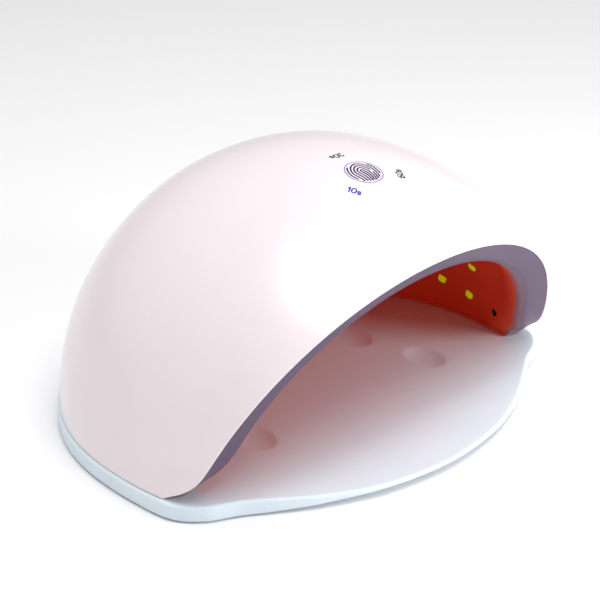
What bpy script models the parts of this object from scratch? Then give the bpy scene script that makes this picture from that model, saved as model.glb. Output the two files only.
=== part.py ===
"""UV LED nail lamp: a domed head that lifts straight off a flat finger tray.

Run with: blender --background --python part.py
Metres, +Z up, the open mouth faces -Y, the plane x = 0 is the plane of symmetry, and z = 0 is the
table under the rubber feet. Each node is one closed solid in the collection "uv_led_nail_lamp".
"""

import math

import bmesh
import bpy
from mathutils import Matrix, Vector

# ---- Driving dimensions, in metres -------------------------------------------------------------
GAP = 0.0003                 # air left between solids that touch

FOOT_STAND = 0.0010          # how far the rubber feet stand out under the tray
TRAY_THICKNESS = 0.0059
SEAM_Z = FOOT_STAND + TRAY_THICKNESS         # the tray's top, where the head sits down
HEAD_Z = SEAM_Z + GAP                        # the underside of everything in the head

# Outer cover: each section across Y is half an ellipse. Its half width and its height follow
# superellipses along Y, which share the rearmost point.
COVER_BACK_Y = 0.0827
COVER_HALF_WIDTH = 0.1000
COVER_WIDTH_CENTRE_Y = -0.0069
COVER_WIDTH_FRONT_RADIUS = 0.1041
COVER_WIDTH_POWER = 2.18
COVER_HEIGHT = 0.0985
COVER_HEIGHT_CENTRE_Y = -0.0094
COVER_HEIGHT_FRONT_RADIUS = 0.0995
COVER_HEIGHT_POWER = 2.14
COVER_WALL = 0.0022

# The mouth is cut along a leaning plane, with a rounded corner where it meets the tray.
MOUTH_FOOT_Y = -0.0460
MOUTH_LEAN = -0.40           # metres forward for each metre up
MOUTH_CORNER_DEPTH = 0.0105
MOUTH_CORNER_HEIGHT = 0.0056
MOUTH_CORNER_POWER = 1.4

# Inner liner: a flared band inside the mouth, then the reflector that the hand goes into.
LIP_HALF_WIDTH = 0.0780
LIP_HEIGHT = 0.0670
LIP_SETBACK = 0.0010
LIP_APEX_SETBACK = 0.0020
LIP_FOOT_SPREAD = 0.0125     # the lip runs out to the cover's corner at its feet
LIP_FOOT_HEIGHT = 0.0090
LIP_FOOT_ADVANCE = 0.0052    # the lip's feet stand this far forward
LIP_FOOT_ADVANCE_HEIGHT = 0.0035
CAVITY_BACK_Y = 0.0615
CAVITY_HALF_WIDTH = 0.0862
CAVITY_WIDTH_CENTRE_Y = -0.0150
CAVITY_WIDTH_FRONT_RADIUS = 0.0900
CAVITY_HEIGHT = 0.0760
CAVITY_HEIGHT_CENTRE_Y = -0.0095
CAVITY_HEIGHT_FRONT_RADIUS = 0.1137
CAVITY_POWER = 2.2
CAVITY_BLEND = 0.0180        # run over which the lip opens out into the cavity
CAVITY_FOOT_BLEND = 0.0025   # the same at its feet
LINER_WALL = 0.0020
LINER_RIM_GAP = 0.0005
BAND_MIDDLE = 0.55           # where the band's middle row lies, from the rim to the lip
SHELL_END = 0.0004           # the flat end of each shell, in front of its rearmost point

# Tray: the cover's footprint, a little proud, with two ears and a thin lobe in front.
TRAY_PROUD = 0.0013
TRAY_EDGE_RADIUS = 0.0008
TRAY_FRONT_POINTS = (        # right half, from the middle of the lobe back to the ear
    (0.0000, -0.0840), (0.0290, -0.0802), (0.0515, -0.0713), (0.0655, -0.0630),
    (0.0780, -0.0548), (0.0895, -0.0490), (0.0973, -0.0400), (0.1002, -0.0256),
)
LOBE_START_Y = -0.0540
LOBE_END_Y = -0.0840
LOBE_DROP = 0.0020           # how far the top falls towards the lobe's front edge
LOBE_LIFT = 0.0025           # how far the underside rises there
LOBE_REACH = 0.12            # half the width of the slabs that shape the lobe
TRAY_END_RUN = 0.0120        # how far the outline heads straight back past its last point
DIMPLE_DEPTH = 0.0009
DIMPLE_RADII = (0.0080, 0.0115)
DIMPLE_CENTRES = ((0.0465, -0.0260), (0.0370, 0.0070), (0.0140, 0.0220))

FOOT_RADIUS = 0.0050
FOOT_POCKET = 0.0012
FOOT_CHAMFER = 0.0006
FOOT_PLACES = ((0.0800, -0.0330), (0.0540, 0.0480))
MAGNET_RADIUS = 0.0026
MAGNET_THICKNESS = 0.0018
MAGNET_COVERING = 0.0012     # tray left over a tray magnet
MAGNET_PLACES = ((0.0929, -0.0180), (0.0340, 0.0675))
PEG_RADIUS = 0.0018
PEG_HEIGHT = 0.0020
PEG_PLACE = (0.0905, 0.0160)
FRAME_FRONT_Y = -0.0250
FRAME_THICKNESS = 0.0026
BOSS_RADIUS = 0.0033
BOSS_HEIGHT = 0.0110
BOSS_INSET = 0.0052          # boss centre, measured inwards from the cover's outer skin
BOSS_Y = (-0.0020, 0.0560)
SCREW_RADIUS = 0.0012
SCREW_HEAD_RADIUS = 0.0023
SCREW_HEAD_HEIGHT = 0.0012
SCREW_LENGTH = 0.0080
SCREW_HOLE_SPARE = 0.0020    # hole left beyond the screw's tip
SCREW_POINT = 0.0008         # length of the screw's taper

# Lamps: (angle up the wall in degrees, y). The ceiling and rear lamps mirror about 90 degrees.
SIDE_LAMPS = ((8.4, -0.0150), (10.8, -0.0007), (13.2, 0.0136), (21.0, -0.0198), (23.6, -0.0055))
REAR_LAMPS = ((52.0, 0.0380), (70.0, 0.0440), (90.0, 0.0460))
CEILING_LAMPS = ((90.0, -0.0400), (90.0, -0.0220))
LAMP_SIDE = 0.0041           # side of the square package
LAMP_BODY = 0.0015
LAMP_LENS_RADIUS = 0.0016
LAMP_LENS_RISE = 0.45        # the lens's height as a share of its radius
LAMP_RECESS = 0.0005         # from the liner's face to the package's face
WINDOW_RADIUS = 0.0034
STRIP_GAP = 0.0004
STRIP_THICKNESS = 0.0008
STRIP_FACET_DEGREES = 7.0
STRIP_AREAS = (              # name, then the angles and the run of y that the strip covers
    ("led_strip_right", (7, 27), (-0.0245, 0.0180)),
    ("led_strip_left", (153, 173), (-0.0245, 0.0180)),
    ("led_strip_rear", (48, 132), (0.0340, 0.0490)),
    ("led_strip_ceiling", (87, 93), (-0.0450, -0.0160)),
)
WINDOW_REACH = 0.0030        # how far the window cutters stand into the cavity
WINDOW_CUT_LENGTH = 0.0080
SENSOR_PLACE = (6.2, -0.0297)
SENSOR_RADIUS = 0.0014
SENSOR_LENGTH = 0.0040
SENSOR_RECESS = 0.0008

# Electronics above the ceiling of the cavity, and the power inlet at the back.
BOARD_Z = 0.0905
BOARD_SIZE = (0.0520, 0.0500, 0.0016)
BOARD_Y = -0.0180
CHIPS = (                    # name, x, y and size
    ("timer_microcontroller", -0.0100, -0.0050, (0.0052, 0.0062, 0.0016)),
    ("led_driver_chip", 0.0120, -0.0030, (0.0040, 0.0050, 0.0016)),
    ("power_inductor", 0.0180, -0.0140, (0.0060, 0.0060, 0.0028)),
)
CAPACITOR_PLACE = (-0.0190, -0.0180)
CAPACITOR_RADIUS = 0.0025
CAPACITOR_HEIGHT = 0.0040
INDICATORS = (("30s", 90), ("10s", 210), ("60s", 330))       # name, degrees round the touch spot
INDICATOR_DISTANCE = 0.0155  # from the middle of the touch spot
INDICATOR_RADIUS = 0.0014
INDICATOR_HEIGHT = 0.0032
BOARD_EDGE_MARGIN = 0.0030
ICON_Y = -0.0345             # centre of the touch spot on the dome
TOUCH_RADIUS = 0.0070
TOUCH_THICKNESS = 0.0008
TOUCH_CLEARANCE = 0.0010     # the disc is flat under a curved shell
SPRING_RADIUS = 0.0030
SPRING_WIRE_RADIUS = 0.0003
SPRING_TURNS = 3
SPRING_TOP_GAP = 0.0015
JACK_HEIGHT = 0.0150         # socket axis above the head's underside
JACK_BODY = (0.0110, 0.0130, 0.0110)
JACK_FACE_INSET = 0.0044     # housing's shoulder, in front of the cover's rear skin
JACK_NOSE_RADIUS = 0.0042
JACK_NOSE_LENGTH = 0.0028
JACK_BORE_RADIUS = 0.0031
JACK_BORE_DEPTH = 0.0090     # from the shoulder
JACK_PIN_RADIUS = 0.0010
JACK_PIN_LENGTH = 0.0085
WIRE_RADIUS = 0.0007
WIRE_STEPS = 8
SUPPLY_WIRE_X = 0.0025
SUPPLY_WIRE_RUN = (0.0655, 0.0160)           # y from the inlet to the board
SUPPLY_WIRE_DEPTH = 0.0040   # below the cover's inner face
LAMP_WIRE_DEGREES = (66, 33)                 # from the board down to the side lamps
LAMP_WIRE_SHARE = 0.5        # of the way from the liner's back to the cover
INLET_WIRE_RISE = 0.0060     # straight up from the inlet before the wires turn
BOARD_WIRE_RUN = 0.0045      # level with the board before the wires reach its edge
BOARD_WIRE_DROP = 0.0015
LAMP_WIRE_START = 0.0100     # behind the board's middle
LAMP_WIRE_DRIFT = 0.0040     # forward, from the board to the side lamps

ARCH_STEPS = 30              # facets from one foot of the arch to the other
DEPTH_STEPS = 14             # facets from the mouth to the back
REAR_STEPS = 14              # facets round each side of the tray and of the bottom frame
ARCH_CROWDING = 0.70         # how much the facets crowd towards the feet of the arch
ARCH_OVERRUN = 0.012         # radians of shell below the underside, trimmed off afterwards
CUT_START = 0.0010           # how far a cutter stands out of the face that it enters by
CUT_LENGTH = 0.0060          # of the cutters that pass right through the bottom frame

COLLECTION = "uv_led_nail_lamp"
CUTTERS = "cutters"


# ---- The lamp's curves -------------------------------------------------------------------------
def superellipse(y, centre, front_radius, back_y, size, power):
    """The size at y of a superellipse that has its own radius in front of its centre."""
    radius = back_y - centre if y > centre else front_radius
    return size * max(0.0, 1.0 - abs((y - centre) / radius) ** power) ** (1.0 / power)


def cover_half_width(y):
    return superellipse(y, COVER_WIDTH_CENTRE_Y, COVER_WIDTH_FRONT_RADIUS, COVER_BACK_Y,
                        COVER_HALF_WIDTH, COVER_WIDTH_POWER)


def cover_height(y):
    return superellipse(y, COVER_HEIGHT_CENTRE_Y, COVER_HEIGHT_FRONT_RADIUS, COVER_BACK_Y,
                        COVER_HEIGHT, COVER_HEIGHT_POWER)


def cover_point(angle, y, inset=0.0):
    """A point on the cover's section at y; the inset shrinks the section."""
    return Vector(((cover_half_width(y) - inset) * math.cos(angle), y,
                   HEAD_Z + (cover_height(y) - inset) * math.sin(angle)))


def cavity_point(angle, y):
    """A point on the reflector's section at y."""
    width = superellipse(y, CAVITY_WIDTH_CENTRE_Y, CAVITY_WIDTH_FRONT_RADIUS, CAVITY_BACK_Y,
                         CAVITY_HALF_WIDTH, CAVITY_POWER)
    height = superellipse(y, CAVITY_HEIGHT_CENTRE_Y, CAVITY_HEIGHT_FRONT_RADIUS, CAVITY_BACK_Y,
                          CAVITY_HEIGHT, CAVITY_POWER)
    return Vector((width * math.cos(angle), y, HEAD_Z + height * math.sin(angle)))


def mouth_y(height):
    """Where the mouth is cut, at a height above the head's underside."""
    corner = math.exp(-((max(0.0, height) / MOUTH_CORNER_HEIGHT) ** MOUTH_CORNER_POWER))
    return MOUTH_FOOT_Y + MOUTH_LEAN * height + MOUTH_CORNER_DEPTH * corner


def rim_point(angle, inset=0.0):
    """The point where a line along the cover, at this angle, meets the mouth."""
    y = MOUTH_FOOT_Y
    for _ in range(60):
        height = (cover_height(y) - inset) * math.sin(angle)
        y = 0.6 * y + 0.4 * mouth_y(height)
    return cover_point(angle, y, inset)


def lip_point(angle):
    """The inner edge of the flared band."""
    height = LIP_HEIGHT * math.sin(angle)
    spread = LIP_FOOT_SPREAD * math.exp(-((height / LIP_FOOT_HEIGHT) ** 2))
    x = LIP_HALF_WIDTH * math.cos(angle) + math.copysign(spread, math.cos(angle))
    setback = LIP_SETBACK + LIP_APEX_SETBACK * height / LIP_HEIGHT
    advance = LIP_FOOT_ADVANCE * math.exp(-((height / LIP_FOOT_ADVANCE_HEIGHT) ** 2))
    return Vector((x, mouth_y(height) + setback - advance, HEAD_Z + height))


def liner_point(angle, y):
    """The reflector, blended from the lip into the cavity behind it."""
    lip = lip_point(angle)
    low = math.exp(-(((lip.z - HEAD_Z) / LIP_FOOT_HEIGHT) ** 2))
    blend = CAVITY_BLEND + (CAVITY_FOOT_BLEND - CAVITY_BLEND) * low
    along = min(1.0, max(0.0, (y - lip.y) / blend))
    weight = along * along * (3.0 - 2.0 * along)
    section = cavity_point(angle, y)
    return Vector((lip.x + (section.x - lip.x) * weight, y, lip.z + (section.z - lip.z) * weight))


def outward(surface, angle, y):
    """Unit normal of a surface(angle, y), pointing away from the lamp's middle."""
    step = 1e-4
    across = surface(angle + step, y) - surface(angle - step, y)
    along = surface(angle, y + step) - surface(angle, y - step)
    return along.cross(across).normalized()


def offset_point(surface, angle, y, distance):
    return surface(angle, y) + outward(surface, angle, y) * distance


def arch_angles():
    """Angles over the arch, from the right foot to the left, crowded near the feet.

    They start a little below the head's underside, where the shells are trimmed flat."""
    angles = []
    for i in range(ARCH_STEPS + 1):
        t = i / ARCH_STEPS
        wave = math.sin(2 * math.pi * t) / (2 * math.pi)
        angle = math.pi * (t - ARCH_CROWDING * wave)
        angles.append(angle + ARCH_OVERRUN * (2 * t - 1))
    return angles


def footprint(half_width, y, inset):
    """A point of a footprint on the right side, moved inwards along its normal."""
    step = 1e-5
    slope = (half_width(y + step) - half_width(y - step)) / (2 * step)
    length = math.hypot(1.0, slope)
    return half_width(y) - inset / length, y + inset * slope / length


def liner_half_width(y):
    return liner_point(0.0, y).x


# ---- Blender helpers ---------------------------------------------------------------------------
def start_clean():
    for obj in list(bpy.data.objects):
        bpy.data.objects.remove(obj, do_unlink=True)
    for name in (COLLECTION, CUTTERS):
        bpy.context.scene.collection.children.link(bpy.data.collections.new(name))


def make_material(name, colour, roughness, metallic=0.0):
    material = bpy.data.materials.new(name)
    material.use_nodes = True
    shader = material.node_tree.nodes["Principled BSDF"]
    shader.inputs["Base Color"].default_value = (*colour, 1.0)
    shader.inputs["Roughness"].default_value = roughness
    shader.inputs["Metallic"].default_value = metallic
    return material


def add(name, bm, material=None):
    """Put a finished bmesh in the scene: a part if it has a material, otherwise a cutter."""
    mesh = bpy.data.meshes.new(name)
    bm.to_mesh(mesh)
    bm.free()
    obj = bpy.data.objects.new(name, mesh)
    if material:
        mesh.materials.append(material)
        bpy.data.collections[COLLECTION].objects.link(obj)
        mesh.shade_smooth()
        mesh.set_sharp_from_angle(angle=math.radians(35))
    else:
        bpy.data.collections[CUTTERS].objects.link(obj)
        obj.hide_render = True
        obj.display_type = "WIRE"
    return obj


def turn_to(axis):
    """Rotation that carries +Z onto an axis."""
    return Vector((0, 0, 1)).rotation_difference(Vector(axis)).to_matrix().to_4x4()


def add_box(bm, centre, size, rotation=None):
    scale = Matrix.Diagonal((*size, 1.0))
    place = Matrix.Translation(centre) @ (rotation or Matrix.Identity(4)) @ scale
    bmesh.ops.create_cube(bm, size=1.0, matrix=place)


def add_cylinder(bm, start, axis, radius, length, sides=24):
    """A cylinder whose first end is at start."""
    place = Matrix.Translation(start) @ turn_to(axis) @ Matrix.Translation((0, 0, length / 2))
    bmesh.ops.create_cone(bm, cap_ends=True, segments=sides, radius1=radius, radius2=radius,
                          depth=length, matrix=place)


def box(name, centre, size, material=None, rotation=None):
    bm = bmesh.new()
    add_box(bm, centre, size, rotation)
    return add(name, bm, material)


def cylinder(name, start, axis, radius, length, material=None, sides=24):
    bm = bmesh.new()
    add_cylinder(bm, start, axis, radius, length, sides)
    return add(name, bm, material)


def turned(name, profile, place, material, sides=20):
    """A solid of revolution. The profile runs down the outside, from (0, top) to (0, bottom)."""
    mesh = bpy.data.meshes.new(name)
    edges = [(i, i + 1) for i in range(len(profile) - 1)]
    mesh.from_pydata([(r, 0.0, z) for r, z in profile], edges, [])
    mesh.materials.append(material)
    obj = bpy.data.objects.new(name, mesh)
    bpy.data.collections[COLLECTION].objects.link(obj)
    obj.matrix_world = place
    screw = obj.modifiers.new("turn", "SCREW")
    screw.steps = screw.render_steps = sides
    screw.use_merge_vertices = True
    screw.merge_threshold = 1e-5
    return obj


def solidify(obj, thickness):
    """Thicken an open surface away from the side that its faces look to."""
    modifier = obj.modifiers.new("wall", "SOLIDIFY")
    modifier.thickness = thickness
    modifier.offset = -1.0


def boolean(obj, tool, operation="DIFFERENCE"):
    modifier = obj.modifiers.new(operation.lower(), "BOOLEAN")
    modifier.operation = operation
    modifier.object = tool


def sheet(bm, rows, close_last=False, flip=False):
    """Faces between rows of points. The last row may be closed by one flat face."""
    grid = [[bm.verts.new(p) for p in row] for row in rows]
    for a, b in zip(grid, grid[1:]):
        for i in range(len(a) - 1):
            bm.faces.new((a[i], b[i], b[i + 1], a[i + 1]))
    if close_last:
        bm.faces.new(list(reversed(grid[-1])))
    bmesh.ops.recalc_face_normals(bm, faces=bm.faces)
    if flip:
        bmesh.ops.reverse_faces(bm, faces=bm.faces)


def prism(bm, outline, low, high):
    """A flat outline given height."""
    face = bm.faces.new([bm.verts.new((x, y, low)) for x, y in outline])
    top = bmesh.ops.extrude_face_region(bm, geom=[face])
    lifted = [v for v in top["geom"] if isinstance(v, bmesh.types.BMVert)]
    bmesh.ops.translate(bm, verts=lifted, vec=(0, 0, high - low))
    bmesh.ops.recalc_face_normals(bm, faces=bm.faces)


def mirrored(places):
    """Each (x, y) on the right, with its twin on the left."""
    return [(side * x, y) for x, y in places for side in (1, -1)]


def side_name(x):
    return "right" if x > 0 else "left"


def tube(name, points, material):
    """A round wire through the points."""
    curve = bpy.data.curves.new(name, "CURVE")
    curve.dimensions = "3D"
    curve.bevel_depth = WIRE_RADIUS
    curve.bevel_resolution = 2
    curve.use_fill_caps = True
    spline = curve.splines.new("POLY")
    spline.points.add(len(points) - 1)
    for target, point in zip(spline.points, points):
        target.co = (*point, 1.0)
    curve.materials.append(material)
    obj = bpy.data.objects.new(name, curve)
    bpy.data.collections[COLLECTION].objects.link(obj)
    return obj


# ---- The tray ----------------------------------------------------------------------------------
def smooth_run(points, steps):
    """Catmull-Rom curve through the points, for a half outline that starts at x = 0."""
    first = (-points[1][0], points[1][1])
    last = (points[-1][0], points[-1][1] + TRAY_END_RUN)
    knots = [Vector(p) for p in (first, *points, last)]
    run = []
    for a, b, c, d in zip(knots, knots[1:], knots[2:], knots[3:]):
        for i in range(steps):
            t = i / steps
            run.append(0.5 * (2 * b + (c - a) * t + (2 * a - 5 * b + 4 * c - d) * t ** 2
                              + (3 * b - a - 3 * c + d) * t ** 3))
    return [(p.x, p.y) for p in run]


def tray_outline():
    """The whole outline, from the middle of the lobe round the right side."""
    right = smooth_run(TRAY_FRONT_POINTS, 4)
    start_y = TRAY_FRONT_POINTS[-1][1]
    depth = COVER_BACK_Y - start_y
    for i in range(REAR_STEPS):
        y = start_y + depth * math.sin(math.pi / 2 * i / REAR_STEPS)
        right.append(footprint(cover_half_width, y, -TRAY_PROUD))
    right.append((0.0, COVER_BACK_Y + TRAY_PROUD))
    return right + [(-x, y) for x, y in reversed(right[1:-1])]


def lobe_fall(y):
    """0 under the head, 1 at the lobe's front edge."""
    t = min(1.0, max(0.0, (LOBE_START_Y - y) / (LOBE_START_Y - LOBE_END_Y)))
    return t * t * (3.0 - 2.0 * t)


def lobe_cutter(name, base_z, change, beyond):
    """A slab along X whose near face follows the lobe's slope."""
    steps = 8
    start = LOBE_START_Y + 0.002
    stop = LOBE_END_Y - 0.006
    profile = [(start + (stop - start) * i / steps) for i in range(steps + 1)]
    bm = bmesh.new()
    rows = []
    for x in (-LOBE_REACH, LOBE_REACH):
        near = [Vector((x, y, base_z + change * lobe_fall(y))) for y in profile]
        near[0].z = base_z - math.copysign(0.0001, change)
        far = [Vector((x, y, base_z + beyond)) for y in (stop, start)]
        rows.append(near + far)
    loops = [[bm.verts.new(p) for p in row] for row in rows]
    count = len(loops[0])
    for i in range(count):
        j = (i + 1) % count
        bm.faces.new((loops[0][i], loops[0][j], loops[1][j], loops[1][i]))
    bm.faces.new(loops[0])
    bm.faces.new(loops[1])
    bmesh.ops.recalc_face_normals(bm, faces=bm.faces)
    return add(name, bm)


def build_tray(material):
    bm = bmesh.new()
    prism(bm, tray_outline(), FOOT_STAND, SEAM_Z)
    tray = add("base_tray", bm, material)
    bevel = tray.modifiers.new("soft_edges", "BEVEL")
    bevel.width = TRAY_EDGE_RADIUS
    bevel.segments = 2
    bevel.limit_method = "ANGLE"
    bevel.angle_limit = math.radians(60)
    boolean(tray, lobe_cutter("lobe_top_cutter", SEAM_Z, -LOBE_DROP, 0.01))
    boolean(tray, lobe_cutter("lobe_underside_cutter", FOOT_STAND, LOBE_LIFT, -0.01))
    bm = bmesh.new()
    for x, y in mirrored(DIMPLE_CENTRES):
        scale = Matrix.Diagonal((*DIMPLE_RADII, 2 * DIMPLE_DEPTH, 1.0))
        place = Matrix.Translation((x, y, SEAM_Z + DIMPLE_DEPTH)) @ scale
        bmesh.ops.create_uvsphere(bm, u_segments=16, v_segments=8, radius=1.0, matrix=place)
    boolean(tray, add("dimple_cutter", bm))
    bm = bmesh.new()
    for x, y in mirrored(FOOT_PLACES):
        add_cylinder(bm, (x, y, -CUT_START), (0, 0, 1), FOOT_RADIUS + GAP,
                     CUT_START + FOOT_STAND + FOOT_POCKET, 20)
    for x, y in mirrored(MAGNET_PLACES):
        add_cylinder(bm, (x, y, -CUT_START), (0, 0, 1), MAGNET_RADIUS + GAP,
                     CUT_START + SEAM_Z - MAGNET_COVERING, 16)
    boolean(tray, add("underside_pocket_cutter", bm))
    bm = bmesh.new()
    for x, y in mirrored([PEG_PLACE]):
        add_cylinder(bm, (x, y, SEAM_Z - 0.002), (0, 0, 1), PEG_RADIUS, 0.002 + PEG_HEIGHT, 16)
    boolean(tray, add("locating_peg_tool", bm), "UNION")


def build_feet_and_magnets(rubber, steel):
    for (x, y), end in zip(mirrored(FOOT_PLACES), ("front", "front", "rear", "rear")):
        top = FOOT_STAND + FOOT_POCKET - GAP
        profile = [(0, top), (FOOT_RADIUS, top), (FOOT_RADIUS, FOOT_CHAMFER),
                   (FOOT_RADIUS - FOOT_CHAMFER, 0), (0, 0)]
        turned(f"foot_{end}_{side_name(x)}", profile, Matrix.Translation((x, y, 0)), rubber)
    lower = SEAM_Z - MAGNET_COVERING - GAP - MAGNET_THICKNESS
    upper = HEAD_Z + GAP
    for (x, y), end in zip(mirrored(MAGNET_PLACES), ("front", "front", "rear", "rear")):
        for owner, z in (("tray", lower), ("head", upper)):
            cylinder(f"{owner}_magnet_{end}_{side_name(x)}", (x, y, z), (0, 0, 1),
                     MAGNET_RADIUS, MAGNET_THICKNESS, steel, 16)


# ---- The head's shells -------------------------------------------------------------------------
def trim_underside(shell):
    """Cut a shell flat at the head's underside."""
    slab = 0.02
    boolean(shell, box(f"{shell.name}_trim_cutter", (0, 0, HEAD_Z - slab / 2), (0.3, 0.3, slab)))


def boss_places():
    places = []
    for y in BOSS_Y:
        places.append(footprint(cover_half_width, y, BOSS_INSET))
    return mirrored(places)


def jack_axis_z():
    return HEAD_Z + JACK_HEIGHT


def build_cover(material):
    end_y = COVER_BACK_Y - SHELL_END
    rows = []
    for i in range(DEPTH_STEPS + 1):
        run = math.sin(math.pi / 2 * i / DEPTH_STEPS)
        row = []
        for angle in arch_angles():
            start = rim_point(angle)
            row.append(cover_point(angle, start.y + (end_y - start.y) * run))
        rows.append(row)
    bm = bmesh.new()
    sheet(bm, rows, close_last=True)
    cover = add("outer_cover", bm, material)
    solidify(cover, COVER_WALL)
    trim_underside(cover)
    bm = bmesh.new()
    for x, y in boss_places():
        base = HEAD_Z + FRAME_THICKNESS + GAP
        add_cylinder(bm, (x, y, base), (0, 0, 1), BOSS_RADIUS, BOSS_HEIGHT, 20)
    boolean(cover, add("screw_boss_tool", bm), "UNION")
    bm = bmesh.new()
    for x, y in boss_places():
        add_cylinder(bm, (x, y, HEAD_Z), (0, 0, 1), SCREW_RADIUS + GAP,
                     SCREW_LENGTH + SCREW_HOLE_SPARE, 12)
    add_cylinder(bm, (0, COVER_BACK_Y - 0.006, jack_axis_z()), (0, 1, 0),
                 JACK_NOSE_RADIUS + GAP, 0.010, 28)
    boolean(cover, add("cover_hole_cutter", bm))


def lamp_places():
    """Every lamp as (name, angle, y)."""
    lamps = []
    for number, (degrees, y) in enumerate(SIDE_LAMPS, 1):
        lamps.append((f"led_right_{number}", math.radians(degrees), y))
        lamps.append((f"led_left_{number}", math.radians(180 - degrees), y))
    rear = list(REAR_LAMPS) + [(180 - d, y) for d, y in REAR_LAMPS if d < 90]
    for number, (degrees, y) in enumerate(rear, 1):
        lamps.append((f"led_rear_{number}", math.radians(degrees), y))
    for number, (degrees, y) in enumerate(CEILING_LAMPS, 1):
        lamps.append((f"led_ceiling_{number}", math.radians(degrees), y))
    return lamps


def sensor_places():
    degrees, y = SENSOR_PLACE
    return (("infrared_sensor", math.radians(degrees), y),
            ("infrared_emitter", math.radians(180 - degrees), y))


def build_liner(material):
    end_y = CAVITY_BACK_Y - SHELL_END
    outer, middle, lip = [], [], []
    for angle in arch_angles():
        start = rim_point(angle, COVER_WALL + LINER_RIM_GAP)
        finish = lip_point(angle)
        outer.append(start)
        middle.append(start.lerp(finish, BAND_MIDDLE))
        lip.append(finish)
    rows = [outer, middle, lip]
    for i in range(1, DEPTH_STEPS + 1):
        run = math.sin(math.pi / 2 * i / DEPTH_STEPS)
        row = []
        for angle in arch_angles():
            start = lip_point(angle).y
            row.append(liner_point(angle, start + (end_y - start) * run))
        rows.append(row)
    bm = bmesh.new()
    sheet(bm, rows, close_last=True, flip=True)
    liner = add("inner_liner", bm, material)
    solidify(liner, LINER_WALL)
    trim_underside(liner)
    bm = bmesh.new()
    for _, angle, y in lamp_places():
        normal = outward(cavity_point, angle, y)
        start = cavity_point(angle, y) - normal * WINDOW_REACH
        add_cylinder(bm, start, normal, WINDOW_RADIUS, WINDOW_CUT_LENGTH, 12)
    for _, angle, y in sensor_places():
        normal = outward(cavity_point, angle, y)
        start = cavity_point(angle, y) - normal * WINDOW_REACH
        add_cylinder(bm, start, normal, SENSOR_RADIUS + GAP, WINDOW_CUT_LENGTH, 12)
    boolean(liner, add("liner_window_cutter", bm))


def frame_outline():
    """U-shaped plate between the cover's wall and the liner's wall, seen from above."""
    outside, inside = [], []
    cover_end, liner_end = COVER_BACK_Y, CAVITY_BACK_Y
    for i in range(REAR_STEPS):
        run = math.sin(math.pi / 2 * i / REAR_STEPS)
        y_out = FRAME_FRONT_Y + (cover_end - FRAME_FRONT_Y) * run
        y_in = FRAME_FRONT_Y + (liner_end - FRAME_FRONT_Y) * run
        outside.append(footprint(cover_half_width, y_out, COVER_WALL + 2 * GAP))
        inside.append(footprint(liner_half_width, y_in, -(LINER_WALL + 3 * GAP)))
    right = outside + [(0.0, cover_end - COVER_WALL - 2 * GAP)]
    outer_run = right + [(-x, y) for x, y in reversed(outside)]
    middle = (0.0, liner_end + LINER_WALL + 3 * GAP)
    inner_run = [(-x, y) for x, y in inside] + [middle] + list(reversed(inside))
    return outer_run + inner_run


def build_frame(material):
    bm = bmesh.new()
    prism(bm, frame_outline(), HEAD_Z, HEAD_Z + FRAME_THICKNESS)
    frame = add("bottom_frame", bm, material)
    bm = bmesh.new()
    for x, y in mirrored(MAGNET_PLACES):
        add_cylinder(bm, (x, y, HEAD_Z - CUT_START), (0, 0, 1), MAGNET_RADIUS + GAP, CUT_LENGTH, 16)
    x, y = PEG_PLACE
    for side in (1, -1):
        add_cylinder(bm, (side * x, y, HEAD_Z - CUT_START), (0, 0, 1), PEG_RADIUS + 2 * GAP,
                     CUT_LENGTH, 16)
    for x, y in boss_places():
        add_cylinder(bm, (x, y, HEAD_Z - CUT_START), (0, 0, 1), SCREW_RADIUS + GAP, CUT_LENGTH, 12)
    boolean(frame, add("frame_hole_cutter", bm))
    bm = bmesh.new()
    for x, y in boss_places():
        add_cylinder(bm, (x, y, HEAD_Z - CUT_START), (0, 0, 1), SCREW_HEAD_RADIUS + GAP,
                     CUT_START + SCREW_HEAD_HEIGHT + 2 * GAP, 16)
    boolean(frame, add("screw_head_cutter", bm))


def build_screws(material):
    names = ("front_right", "front_left", "rear_right", "rear_left")
    for (x, y), name in zip(boss_places(), names):
        base = HEAD_Z + GAP
        top = base + SCREW_LENGTH
        profile = [(0, top), (SCREW_RADIUS * 0.6, top), (SCREW_RADIUS, top - SCREW_POINT),
                   (SCREW_RADIUS, base + SCREW_HEAD_HEIGHT),
                   (SCREW_HEAD_RADIUS, base + SCREW_HEAD_HEIGHT), (SCREW_HEAD_RADIUS, base),
                   (0, base)]
        turned(f"screw_{name}", profile, Matrix.Translation((x, y, 0)), material, 12)


# ---- Lamps and sensors -------------------------------------------------------------------------
def build_lamps(material):
    """Each lamp is a square package with a domed lens, sunk a little in its window."""
    for name, angle, y in lamp_places():
        normal = outward(cavity_point, angle, y)
        face = cavity_point(angle, y) + normal * LAMP_RECESS
        inwards = turn_to(-normal)
        body = box(name, (0, 0, 0), (LAMP_SIDE, LAMP_SIDE, LAMP_BODY), material)
        body.matrix_world = Matrix.Translation(face + normal * LAMP_BODY / 2) @ inwards
        bm = bmesh.new()
        flatten = Matrix.Diagonal((1, 1, LAMP_LENS_RISE, 1))
        place = Matrix.Translation(face) @ inwards @ flatten
        bmesh.ops.create_uvsphere(bm, u_segments=12, v_segments=6, radius=LAMP_LENS_RADIUS,
                                  matrix=place)
        boolean(body, add(f"{name}_lens_tool", bm), "UNION")


def build_sensors(material):
    for name, angle, y in sensor_places():
        normal = outward(cavity_point, angle, y)
        start = cavity_point(angle, y) + normal * SENSOR_RECESS
        profile = [(0, SENSOR_LENGTH), (SENSOR_RADIUS, SENSOR_LENGTH), (SENSOR_RADIUS, 0.0006),
                   (SENSOR_RADIUS * 0.7, 0), (0, 0)]
        turned(name, profile, Matrix.Translation(start) @ turn_to(normal), material, 16)


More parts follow.
